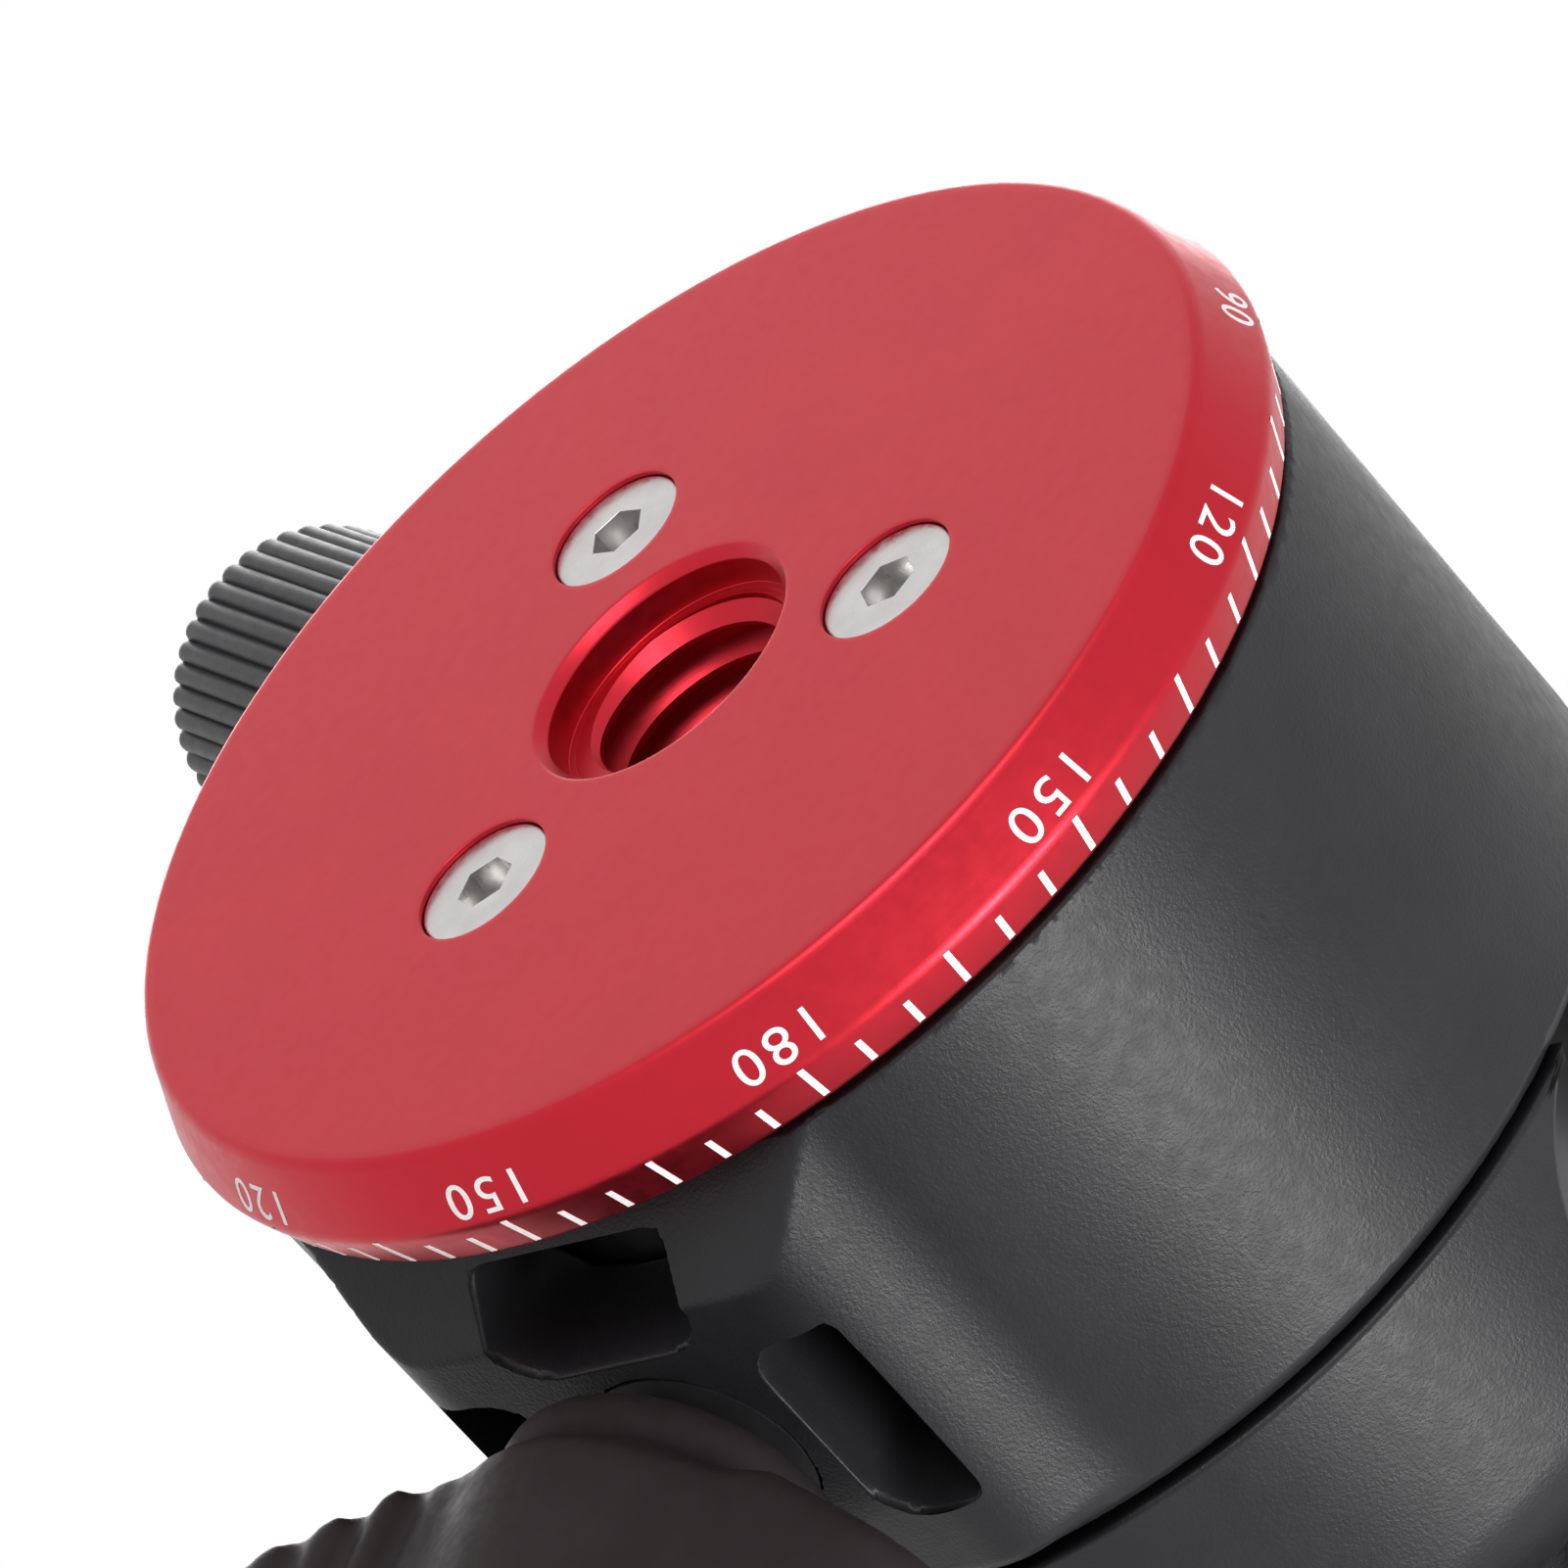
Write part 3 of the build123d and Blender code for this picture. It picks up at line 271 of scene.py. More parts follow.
class StudioSettings(bpy.types.PropertyGroup):
    lens: ratio("Lens", "Focal length in millimetres", 260.25)
    sensor: ratio("Sensor", "Width of the sensor in millimetres", 36.0)
    eye: place("Eye", "Place of the camera", (0.2465, -0.27025, -0.18927))
    aim: FloatVectorProperty(
        name="Aim", description="Turn of the camera", size=3, unit="ROTATION", subtype="EULER",
        default=tuple(math.radians(a) for a in (-125.8505, -36.0947, -114.5144)),
    )
    near: length("Near end", "Distance at which the camera starts to see", 20.0)
    far: length("Far end", "Distance up to which the camera sees", 20000.0)
    ambient: ratio("Ambient", "Light from all round", 0.55)
    key: ratio("Key lamp", "Power of the lamp beside the camera", 5.0)
    key_w: length("Key width", "Width of the lamp beside the camera", 340.0)
    key_at: place("Key place", "Place of the lamp beside the camera", (0.3, -0.59, 0.28))
    fill: ratio("Fill lamp", "Power of the lamp overhead", 5.0)
    fill_w: length("Fill width", "Width of the lamp overhead", 1100.0)
    fill_at: place("Fill place", "Place of the lamp overhead", (-0.1, -0.1, 0.8))
    rim: ratio("Rim lamps", "Power of the lamp behind and of the one below", 2.5)
    rim_w: length("Rim width", "Width of the lamp behind", 500.0)
    rim_at: place("Rim place", "Place of the lamp behind", (-0.5, 0.45, 0.15))
    low_w: length("Low width", "Width of the lamp below", 400.0)
    low_at: place("Low place", "Place of the lamp below", (0.1, -0.2, -0.7))
    lit_z: length("Lit height", "Height on the pan axis that the lamps face", 30.0)
    floor_r: length("Floor radius", "Radius of the floor", 3000.0)
    floor_gap: length("Floor gap", "How far the floor lies under the base", 0.15)
    floor_paint: colour("Floor", "Colour of the pale floor", (0.9, 0.9, 0.9))


# Materials

SURFACE = "_surface"      # end of the name of every material made here
RING_GAP = 0.314          # metres between the rings of a wave texture at a scale of 1


def chosen():
    """The colours set for this head."""
    return bpy.context.scene.head_finish


def slot_colour(slot):
    """The record's colour of a material slot."""
    found = next(m for m in frame["record"]["materials"] if m["slot"] == slot)
    return tuple(found["base_color"])


def shaded(colour_rgb, factor):
    """A colour made darker or lighter, as four numbers."""
    return (*(min(1.0, c * factor) for c in colour_rgb), 1.0)


class Paint:
    """One material and the nodes that drive it."""

    def __init__(self, name, metallic=0.0, specular=0.5):
        self.material = bpy.data.materials.new(name + SURFACE)
        self.material.use_nodes = True
        self.tree = self.material.node_tree
        self.shader = self.tree.nodes["Principled BSDF"]
        self.shader.inputs["Metallic"].default_value = metallic
        self.shader.inputs["Specular IOR Level"].default_value = specular
        self.place = self.tree.nodes.new("ShaderNodeTexCoord")
        self.normal = None

    def node(self, kind, **values):
        """A new node with some of its inputs set."""
        made = self.tree.nodes.new(kind)
        for name, value in values.items():
            made.inputs[name.replace("_", " ")].default_value = value
        return made

    def noise(self, size, detail=2.0, stretch=(1, 1, 1)):
        """Noise whose grains are about this many metres across."""
        mapping = self.node("ShaderNodeMapping", Scale=stretch)
        made = self.node("ShaderNodeTexNoise", Scale=1 / size, Detail=detail)
        self.tree.links.new(self.place.outputs["Object"], mapping.inputs["Vector"])
        self.tree.links.new(mapping.outputs["Vector"], made.inputs["Vector"])
        return made.outputs["Fac"]

    def rings(self, size, centre=(0, 0, 0), turn=(0, 0, 0), wobble=0.4):
        """Turning marks round an axis, this many metres apart."""
        mapping = self.node("ShaderNodeMapping", Location=centre, Rotation=turn)
        mapping.vector_type = "TEXTURE"
        made = self.node("ShaderNodeTexWave", Scale=RING_GAP / size, Distortion=wobble)
        made.wave_type = "RINGS"
        made.rings_direction = "Z"
        self.tree.links.new(self.place.outputs["Object"], mapping.inputs["Vector"])
        self.tree.links.new(mapping.outputs["Vector"], made.inputs["Vector"])
        return made.outputs["Fac"]

    def tint(self, source, low, high, span=(0.35, 0.65)):
        """Base colour from one shade to another."""
        ramp = self.tree.nodes.new("ShaderNodeValToRGB")
        for stop, place, shade in zip(ramp.color_ramp.elements, span, (low, high)):
            stop.position = place
            stop.color = shade
        self.tree.links.new(source, ramp.inputs["Fac"])
        self.tree.links.new(ramp.outputs["Color"], self.shader.inputs["Base Color"])

    def roughen(self, source, low, high):
        """Roughness between two values."""
        ranged = self.node(
            "ShaderNodeMapRange", From_Min=0.3, From_Max=0.7, To_Min=low, To_Max=high,
        )
        self.tree.links.new(source, ranged.inputs["Value"])
        self.tree.links.new(ranged.outputs["Result"], self.shader.inputs["Roughness"])

    def relief(self, source, strength, depth):
        """One more layer of fine relief."""
        bump = self.node("ShaderNodeBump", Strength=strength, Distance=depth)
        self.tree.links.new(source, bump.inputs["Height"])
        if self.normal:
            self.tree.links.new(self.normal, bump.inputs["Normal"])
        self.normal = bump.outputs["Normal"]
        self.tree.links.new(self.normal, self.shader.inputs["Normal"])


def anodised(name, base, metallic, rough, grain, depth, spread, specular=0.5):
    """A blasted and anodised or coated metal."""
    paint = Paint(name, metallic, specular)
    paint.tint(paint.noise(6 * MM, 4.0), shaded(base, 1 - spread), shaded(base, 1 + spread))
    paint.roughen(paint.noise(0.7 * MM, 3.0), rough - 0.04, rough + 0.05)
    paint.relief(paint.noise(grain, 1.0), depth, 0.03 * MM)
    return paint


def red_base():
    paint = anodised(
        "red_base", chosen().red, metallic=0.95, rough=0.36, grain=0.06 * MM, depth=0.06,
        spread=0.02,
    )
    paint.relief(paint.rings(0.16 * MM), 0.05, 0.01 * MM)
    return paint.material


def black_casing():
    paint = anodised(
        "black_casing", chosen().coating, metallic=0.0, rough=0.38, grain=0.17 * MM, depth=0.5,
        spread=0.12, specular=0.22,
    )
    paint.relief(paint.noise(0.07 * MM, 0.0), 0.3, 0.02 * MM)
    return paint.material


def clamp_black():
    return anodised(
        "clamp_black", chosen().coating, metallic=0.0, rough=0.38, grain=0.13 * MM, depth=0.3,
        spread=0.1, specular=0.3,
    ).material


def plate_black():
    return anodised(
        "plate_black", chosen().coating, metallic=0.0, rough=0.36, grain=0.1 * MM, depth=0.2,
        spread=0.1, specular=0.35,
    ).material


def ridged_knob():
    return anodised(
        "ridged_knob", chosen().knurl, metallic=0.0, rough=0.42, grain=0.08 * MM, depth=0.2,
        spread=0.1, specular=0.3,
    ).material


def inner_black():
    return anodised(
        "inner_black", chosen().coating, metallic=0.1, rough=0.5, grain=0.1 * MM, depth=0.2,
        spread=0.15,
    ).material


def ball_finish():
    paint = anodised(
        "ball_finish", slot_colour("ball_finish"), metallic=0.75, rough=0.33,
        grain=0.05 * MM, depth=0.08, spread=0.05,
    )
    paint.relief(paint.noise(0.4 * MM, 3.0), 0.04, 0.01 * MM)
    return paint.material


def main_grip():
    paint = Paint("main_grip", specular=0.2)
    base = chosen().grip
    paint.tint(paint.noise(4 * MM, 5.0), shaded(base, 0.85), shaded(base, 1.2))
    paint.roughen(paint.noise(0.5 * MM, 2.0), 0.5, 0.62)
    paint.relief(paint.noise(0.12 * MM, 2.0), 0.14, 0.02 * MM)
    return paint.material


def grip_cap():
    paint = Paint("grip_cap")
    base = slot_colour("grip_cap")
    axis_z = bpy.context.scene.head_knobs.lock_z
    paint.tint(paint.noise(3 * MM, 3.0), shaded(base, 0.85), shaded(base, 1.2))
    paint.roughen(paint.noise(0.6 * MM, 2.0), 0.28, 0.38)
    paint.relief(paint.rings(0.2 * MM, (0, 0, axis_z), (0, math.pi / 2, 0)), 0.1, 0.01 * MM)
    return paint.material


def machined(slot, rough, mark=0.2 * MM, stretch=(1, 1, 6), spread=0.1, painted_shade_dim=1.0):
    """Bare or plated metal with fine cutting marks."""
    paint = Paint(slot, metallic=1.0)
    # Painted shade: a dim under 1 darkens the metal's whole colour.
    base = shaded(slot_colour(slot), painted_shade_dim)[:3]
    paint.tint(paint.noise(1.5 * MM, 4.0), shaded(base, 1 - spread), shaded(base, 1 + spread))
    paint.roughen(paint.noise(0.4 * MM, 3.0, stretch), rough - 0.05, rough + 0.08)
    paint.relief(paint.noise(mark, 2.0, stretch), 0.12, 0.01 * MM)
    return paint.material


def bright_screws():
    return machined("bright_screws", 0.3, mark=0.12 * MM, stretch=(1, 1, 1), spread=0.05)


def inner_steel():
    return machined("inner_steel", 0.34)


def dark_screw():
    return machined("dark_screw", 0.4, mark=0.15 * MM, stretch=(1, 1, 1), spread=0.2)


def brass_fitting():
    # Painted shade: the brass is darkened to 0.15 of its colour to stand in for the shade in the
    # gap by a knob's hub, where it shows.
    return machined("brass_fitting", 0.45, painted_shade_dim=0.15)


def stem_steel():
    return machined("stem_steel", 0.28)


def pin_steel():
    return machined("pin_steel", 0.25, mark=0.15 * MM, stretch=(6, 1, 1))


def camera_steel():
    return machined("camera_steel", 0.27)


def level_rim():
    return machined("level_rim", 0.25, mark=0.15 * MM)


def moulded(slot, rough, grain):
    """Plain moulded plastic or rubber."""
    paint = Paint(slot, specular=0.4)
    base = slot_colour(slot)
    paint.tint(paint.noise(2 * MM, 4.0), shaded(base, 0.88), shaded(base, 1.12))
    paint.roughen(paint.noise(0.4 * MM, 2.0), rough - 0.06, rough + 0.06)
    paint.relief(paint.noise(grain, 2.0), 0.2, 0.02 * MM)
    return paint.material


def slide_washer():
    return moulded("slide_washer", 0.45, 0.2 * MM)


def seat_plastic():
    return moulded("seat_plastic", 0.5, 0.15 * MM)


def pad_rubber():
    return moulded("pad_rubber", 0.75, 0.12 * MM)


def level_liquid():
    paint = Paint("level_liquid")
    base = slot_colour("level_liquid")
    paint.tint(paint.noise(2 * MM, 2.0), shaded(base, 0.92), shaded(base, 1.08))
    paint.roughen(paint.noise(1 * MM, 2.0), 0.03, 0.07)
    paint.shader.inputs["Transmission Weight"].default_value = 0.75
    paint.shader.inputs["IOR"].default_value = 1.45
    return paint.material


def level_air():
    paint = Paint("level_air", specular=0.6)
    paint.tint(paint.noise(1 * MM, 2.0), (0.8, 0.88, 0.62, 1), (0.88, 0.94, 0.72, 1))
    paint.roughen(paint.noise(1 * MM, 2.0), 0.04, 0.1)
    return paint.material


def level_paint():
    paint = Paint("level_paint", specular=0.3)
    paint.tint(paint.noise(0.5 * MM, 2.0), (0.01, 0.01, 0.01, 1), (0.02, 0.02, 0.02, 1))
    paint.roughen(paint.noise(0.5 * MM, 2.0), 0.5, 0.6)
    return paint.material


def mark_paint():
    paint = Paint("mark_paint", specular=0.3)
    base = chosen().marks
    paint.tint(paint.noise(0.3 * MM, 3.0), shaded(base, 0.93), shaded(base, 1.05))
    paint.roughen(paint.noise(0.3 * MM, 2.0), 0.45, 0.6)
    return paint.material


FINISHES = {
    "red_base": red_base, "black_casing": black_casing, "clamp_black": clamp_black,
    "plate_black": plate_black, "ridged_knob": ridged_knob, "inner_black": inner_black,
    "ball_finish": ball_finish, "main_grip": main_grip, "grip_cap": grip_cap,
    "bright_screws": bright_screws, "inner_steel": inner_steel, "dark_screw": dark_screw,
    "brass_fitting": brass_fitting, "stem_steel": stem_steel, "pin_steel": pin_steel,
    "camera_steel": camera_steel, "level_rim": level_rim, "slide_washer": slide_washer,
    "seat_plastic": seat_plastic, "pad_rubber": pad_rubber, "level_liquid": level_liquid,
    "level_air": level_air, "level_paint": level_paint, "mark_paint": mark_paint,
}


def finish(name):
    """The material of that name, made once."""
    return bpy.data.materials.get(name + SURFACE) or FINISHES[name]()


# Shapes

def lathe(bm, points, steps):
    """Spins an outline of (radius, height) points all the way round the Z axis."""
    verts = [bm.verts.new((r, 0, z)) for r, z in points]
    edges = [bm.edges.new(pair) for pair in zip(verts, verts[1:])]
    bmesh.ops.spin(
        bm, geom=verts + edges, cent=(0, 0, 0), axis=(0, 0, 1), dvec=(0, 0, 0),
        angle=FULL_TURN, steps=steps, use_merge=True, use_duplicate=False,
    )
    bmesh.ops.remove_doubles(bm, verts=bm.verts, dist=WELD)
    bmesh.ops.recalc_face_normals(bm, faces=bm.faces)


def rounded(points, size):
    """An outline with every inner corner rounded off."""
    steps = 3
    points = [Vector(p) for p in points]
    made = [points[0]]
    for before, corner, after in zip(points, points[1:], points[2:]):
        back, on = before - corner, after - corner
        trim = min(size, back.length * NEARLY_HALF, on.length * NEARLY_HALF)
        start, end = corner + back.normalized() * trim, corner + on.normalized() * trim
        for step in range(steps + 1):
            t = step / steps
            made.append(start.lerp(corner, t).lerp(corner.lerp(end, t), t))
    return [tuple(p) for p in made + [points[-1]]]


def join(whole, part, place):
    """Adds a moved part to a whole and frees the part."""
    bmesh.ops.transform(part, matrix=place, verts=part.verts)
    held = bpy.data.meshes.new("part")
    part.to_mesh(held)
    part.free()
    whole.from_mesh(held)
    bpy.data.meshes.remove(held)


def level_loop(bm, height):
    """The open edges that lie at a height."""
    return [
        e for e in bm.edges
        if e.is_boundary and all(abs(v.co.z - height) < WELD for v in e.verts)
    ]


def ringed(bm, outline, segments):
    """A closed body of rings; a ring's radius may depend on the angle."""
    made = bmesh.ops.create_circle(bm, cap_ends=False, radius=1.0, segments=segments)
    verts, edges = made["verts"], bm.edges[:]
    for number, (radius, height) in enumerate(outline):
        if number:
            geom = bmesh.ops.extrude_edge_only(bm, edges=edges)["geom"]
            verts = [g for g in geom if isinstance(g, bmesh.types.BMVert)]
            edges = [g for g in geom if isinstance(g, bmesh.types.BMEdge) and g.is_boundary]
        for v in verts:
            angle = math.atan2(v.co.y, v.co.x)
            reach = radius(angle) if callable(radius) else radius
            v.co = (reach * math.cos(angle), reach * math.sin(angle), height)
    bmesh.ops.holes_fill(bm, edges=[e for e in bm.edges if e.is_boundary], sides=0)
    bmesh.ops.recalc_face_normals(bm, faces=bm.faces)


def thread_sleeve(bm, crest_r, root_r, wall_r, pitch, low, high):
    """A thread cut square at both ends, with a plain wall behind it."""
    turns = math.ceil((high - low) / pitch) + 2
    crest_flat, root_flat = pitch / 16, pitch / 8
    outline = (
        (root_r, -pitch / 2), (root_r, root_flat - pitch / 2), (crest_r, -crest_flat),
        (crest_r, crest_flat), (root_r, pitch / 2 - root_flat), (root_r, pitch / 2),
    )
    verts = [bm.verts.new((r, 0, low - pitch + z)) for r, z in outline]
    edges = [bm.edges.new(pair) for pair in zip(verts, verts[1:])]
    bmesh.ops.spin(
        bm, geom=verts + edges, cent=(0, 0, 0), axis=(0, 0, 1), dvec=(0, 0, pitch / SMALL),
        angle=FULL_TURN * turns, steps=SMALL * turns, use_merge=False, use_duplicate=False,
    )
    bmesh.ops.remove_doubles(bm, verts=bm.verts, dist=WELD)
    for height, below in ((low, True), (high, False)):
        bmesh.ops.bisect_plane(
            bm, geom=bm.verts[:] + bm.edges[:] + bm.faces[:], dist=WELD, plane_co=(0, 0, height),
            plane_no=(0, 0, 1), clear_inner=below, clear_outer=not below,
        )
    ring = bmesh.ops.extrude_edge_only(bm, edges=level_loop(bm, low))["geom"]
    for v in (g for g in ring if isinstance(g, bmesh.types.BMVert)):
        v.co.xy *= wall_r / v.co.xy.length
    ring = [e for e in ring if isinstance(e, bmesh.types.BMEdge) and e.is_boundary]
    wall = bmesh.ops.extrude_edge_only(bm, edges=ring)["geom"]
    top = [g for g in wall if isinstance(g, bmesh.types.BMVert)]
    bmesh.ops.translate(bm, verts=top, vec=(0, 0, high - low))
    bmesh.ops.triangle_fill(bm, use_beauty=True, edges=level_loop(bm, high))
    bmesh.ops.recalc_face_normals(bm, faces=bm.faces)


def welded(node):
    """A bmesh of a node's shape, with its loose triangles joined."""
    bm = bmesh.new()
    bm.from_mesh(frame["nodes"][node].data)
    bmesh.ops.remove_doubles(bm, verts=bm.verts, dist=WELD)
    bmesh.ops.dissolve_degenerate(bm, edges=bm.edges, dist=WELD)
    return bm


def piece(name, bm, body, slot, nodes=(), sharp=42.0, material=None):
    """A finished piece that rides on a body and stands for these nodes."""
    mesh = bpy.data.meshes.new(name)
    bm.to_mesh(mesh)
    bm.free()
    mesh.materials.clear()
    mesh.materials.append(finish(material or slot))
    mesh.shade_smooth()
    mesh.set_sharp_from_angle(angle=math.radians(sharp))
    made = bpy.data.objects.new(name, mesh)
    bpy.context.scene.collection.objects.link(made)
    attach(made, body)
    if nodes:
        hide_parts(*nodes)
    return made


def soften(made, edge, segments=3):
    """Small rounded edges, with flat faces kept flat."""
    bevel = made.modifiers.new("edges", "BEVEL")
    bevel.width = edge
    bevel.segments = segments
    bevel.limit_method = "ANGLE"
    bevel.angle_limit = EDGE_ANGLE
    bevel.use_clamp_overlap = False
    bevel.loop_slide = False
    bevel.miter_outer = "MITER_ARC"
    bevel.face_strength_mode = "FSTR_AFFECTED"
    even = made.modifiers.new("even", "WEIGHTED_NORMAL")
    even.keep_sharp = True
    even.use_face_influence = True
    return bevel


def eased(name, node, slot, edge, segments=3):
    """A node's own shape with small rounded edges."""
    made = piece(name, welded(node), frame["nodes"][node]["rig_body"], slot, [node])
    soften(made, edge, segments)


def even_mesh(node, grain):
    """A bmesh of a node's shape, rebuilt from small even faces."""
    bm = welded(node)
    mesh = bpy.data.meshes.new("rough")
    bm.to_mesh(mesh)
    bm.free()
    rough = bpy.data.objects.new("rough", mesh)
    bpy.context.scene.collection.objects.link(rough)
    even = rough.modifiers.new("even", "REMESH")
    even.mode = "VOXEL"
    even.voxel_size = grain
    bpy.context.view_layer.update()
    bm = bmesh.new()
    bm.from_object(rough, bpy.context.evaluated_depsgraph_get())
    bpy.data.objects.remove(rough)
    bpy.data.meshes.remove(mesh)
    return bm


def settle(bm, passes):
    """Smooths every point of a mesh."""
    for _ in range(passes):
        bmesh.ops.smooth_vert(
            bm, verts=bm.verts, factor=0.5, use_axis_x=True, use_axis_y=True, use_axis_z=True,
        )


def coat(name, *nodes):
    """Gives carried-over nodes the finish of that name."""
    for node in nodes:
        slots = frame["nodes"][node].data.materials
        slots.clear()
        slots.append(finish(name))


def lying(height=0.0):
    """Matrix that lays a shape along Z down along X, at a height."""
    return Matrix.Translation((0, 0, height)) @ Matrix.Rotation(math.pi / 2, 4, "Y")


def cone_frame(azimuth, foot, head, share):
    """Matrix of a point on a cone: X round it, Y up its slope and Z out of it."""
    (foot_r, foot_z), (head_r, head_z) = foot, head
    up = Vector((head_r - foot_r, 0, head_z - foot_z)).normalized()
    out = Vector((0, 1, 0)).cross(up)
    at = Vector((foot_r + (head_r - foot_r) * share, 0, foot_z + (head_z - foot_z) * share))
    turn = Matrix.Rotation(azimuth, 4, "Z")
    axes = Matrix((Vector((0, 1, 0)), up, out)).transposed().to_4x4()
    return turn @ Matrix.Translation(at) @ axes


# Base

class HEAD_OT_base_disc(bpy.types.Operator):
    """The red disc with its mouth, its screw seats and a bore for the thread"""
    bl_idname = "head.base_disc"
    bl_label = "Base disc"

    def seat(self, screws, base):
        """A countersunk seat round the Z axis, open at the mounting face."""
        bm = bmesh.new()
        head, hole = screws.head_r + screws.play, screws.shank_r + screws.play
        lathe(bm, rounded([
            (head + base.support, 0), (head, 0), (head, screws.rim * 3),
            (hole, screws.rim * 3 + head - hole), (hole, base.band_high_z - base.disc_edge),
            (0, base.band_high_z - base.disc_edge),
        ], base.seat_soft), SMALL)
        return bm

    def execute(self, context):
        base, screws = context.scene.head_base, context.scene.head_screws
        bm = bmesh.new()
        lathe(bm, rounded([
            (0, base.bore_z), (base.wall_r, base.bore_z), (base.wall_r, base.shelf_z),
            (base.entry_r, base.shelf_z), (base.entry_r, base.mouth_t), (base.mouth_r, 0),
            (base.mouth_r + base.support, 0),
        ], base.mouth_soft), MIDDLE)
        lathe(bm, rounded([
            (base.bevel_low_r - base.shoulder - base.support, 0),
            (base.bevel_low_r - base.shoulder / 2, 0),
            (base.bevel_low_r, base.bevel_low_z), (base.band_low_r, base.band_low_z),
            (base.band_high_r, base.band_high_z), (base.spigot_r, base.band_high_z),
            (base.spigot_r, base.spigot_z), (0, base.spigot_z),
        ], base.disc_edge), LARGE)
        for number in range(screws.number):
            side = screws.first + number * FULL_TURN / screws.number
            place = Matrix.Rotation(side, 4, "Z") @ Matrix.Translation((screws.circle_r, 0, 0))
            join(bm, self.seat(screws, base), place)
        bmesh.ops.triangle_fill(bm, use_beauty=True, edges=level_loop(bm, 0))
        bmesh.ops.recalc_face_normals(bm, faces=bm.faces)
        piece("turned_disc", bm, "base", "red_base", ["base_disc"], sharp=30.0)
        return {"FINISHED"}


class HEAD_OT_base_thread(bpy.types.Operator):
    """The tripod thread inside the base"""
    bl_idname = "head.base_thread"
    bl_label = "Tripod thread"

    def execute(self, context):
        base = context.scene.head_base
        bm = bmesh.new()
        thread_sleeve(
            bm, base.crest_r, base.root_r, base.wall_r + 4 * HAIR, base.pitch,
            base.shelf_z + HAIR, base.bore_z,
        )
        piece("tripod_thread", bm, "base", "red_base", sharp=30.0)
        return {"FINISHED"}


class HEAD_OT_degree_scale(bpy.types.Operator):
    """The ticks and numbers round the base"""
    bl_idname = "head.degree_scale"
    bl_label = "Degree scale"

    def ticks(self, base):
        """Thin bars on the upper cone, every so many of them longer."""
        bm = bmesh.new()
        foot, head = (base.band_low_r, base.band_low_z), (base.band_high_r, base.band_high_z)
        slope = Vector(foot) - Vector(head)
        rise = head[1] - foot[1]
        for number in range(base.tick_count):
            low = base.short_foot if number % base.long_every else base.long_foot
            middle = ((low + base.tick_head) / 2 - foot[1]) / rise
            size = (base.tick_w, slope.length * (base.tick_head - low) / rise, base.mark_t * 2)
            side = base.top_side + number * FULL_TURN / base.tick_count
            place = cone_frame(side, foot, head, middle)
            bmesh.ops.create_cube(bm, size=1.0, matrix=place @ Matrix.Diagonal((*size, 1)))
        piece("scale_ticks", bm, "base", "red_base", material="mark_paint")

    def number(self, base, text):
        """The mesh of one flat number."""
        context = bpy.context
        curve = bpy.data.curves.new("number", "FONT")
        curve.body = text
        curve.align_x = "CENTER"
        curve.extrude = base.mark_t / base.digit_h
        curve.space_character = base.digit_space
        holder = bpy.data.objects.new("number", curve)
        context.scene.collection.objects.link(holder)
        context.view_layer.update()
        flat = bpy.data.meshes.new_from_object(
            holder.evaluated_get(context.evaluated_depsgraph_get())
        )
        bpy.data.objects.remove(holder)
        return flat

    def numbers(self, base):
        """Numbers bent round the lower cone."""
        bm = bmesh.new()
        foot, head = (base.bevel_low_r, base.bevel_low_z), (base.band_low_r, base.band_low_z)
        step = 2 * base.top_number // base.number_count
        for place in range(base.number_count):
            flat = self.number(base, str(abs(base.top_number - place * step)))
            tall = max(v.co.y for v in flat.vertices)
            side = base.top_side + place * FULL_TURN / base.number_count
            for v in flat.vertices:
                across, up, out = v.co.x / tall, v.co.y / tall, v.co.z
                around = across * base.digit_wide * base.digit_h / base.bevel_low_r
                at = Vector((0, base.digit_rise + up * base.digit_h, out * base.digit_h))
                v.co = cone_frame(side + around, foot, head, 0) @ at
            bm.from_mesh(flat)
            bpy.data.meshes.remove(flat)
        bmesh.ops.remove_doubles(bm, verts=bm.verts, dist=WELD)
        piece("scale_numbers", bm, "base", "red_base", material="mark_paint")

    def execute(self, context):
        base = context.scene.head_base
        self.ticks(base)
        self.numbers(base)
        return {"FINISHED"}


class HEAD_OT_base_screws(bpy.types.Operator):
    """The countersunk socket screws in the base"""
    bl_idname = "head.base_screws"
    bl_label = "Base screws"

    def head(self, screws, low, high):
        """A socket screw round the Z axis, its head down."""

        def socket(angle):
            flat = screws.hex_r * math.cos(math.pi / 6)
            return flat / math.cos(angle % (math.pi / 3) - math.pi / 6)

        bm = bmesh.new()
        head_r, shank_r, edge = screws.head_r, screws.shank_r, screws.edge
        deep, cone_z = low + screws.hex_t, low + edge + screws.rim
        ringed(bm, [
            (screws.hex_r / 4, deep + screws.hex_r / 3), (screws.hex_r * 0.8, deep),
            (socket, deep), (socket, low + HAIR), (lambda a: socket(a) + HAIR, low),
            (head_r - edge, low), (head_r - edge / 4, low + edge / 3), (head_r, low + edge),
            (head_r, cone_z), (shank_r, cone_z + head_r - shank_r), (shank_r, high),
        ], SMALL)
        return bm

    def execute(self, context):
        screws = context.scene.head_screws
        low, high = (corner.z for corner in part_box("spindle_screws"))
        whole = bmesh.new()
        for number in range(screws.number):
            one = self.head(screws, low, high)
            side = screws.first + number * FULL_TURN / screws.number
            place = (
                Matrix.Rotation(side, 4, "Z") @ Matrix.Translation((screws.circle_r, 0, 0))
                @ Matrix.Rotation(screws.socket_turn + number * screws.socket_step, 4, "Z")
            )
            join(whole, one, place)
        piece("socket_screws", whole, "base", "bright_screws", ["spindle_screws"], sharp=30.0)
        return {"FINISHED"}


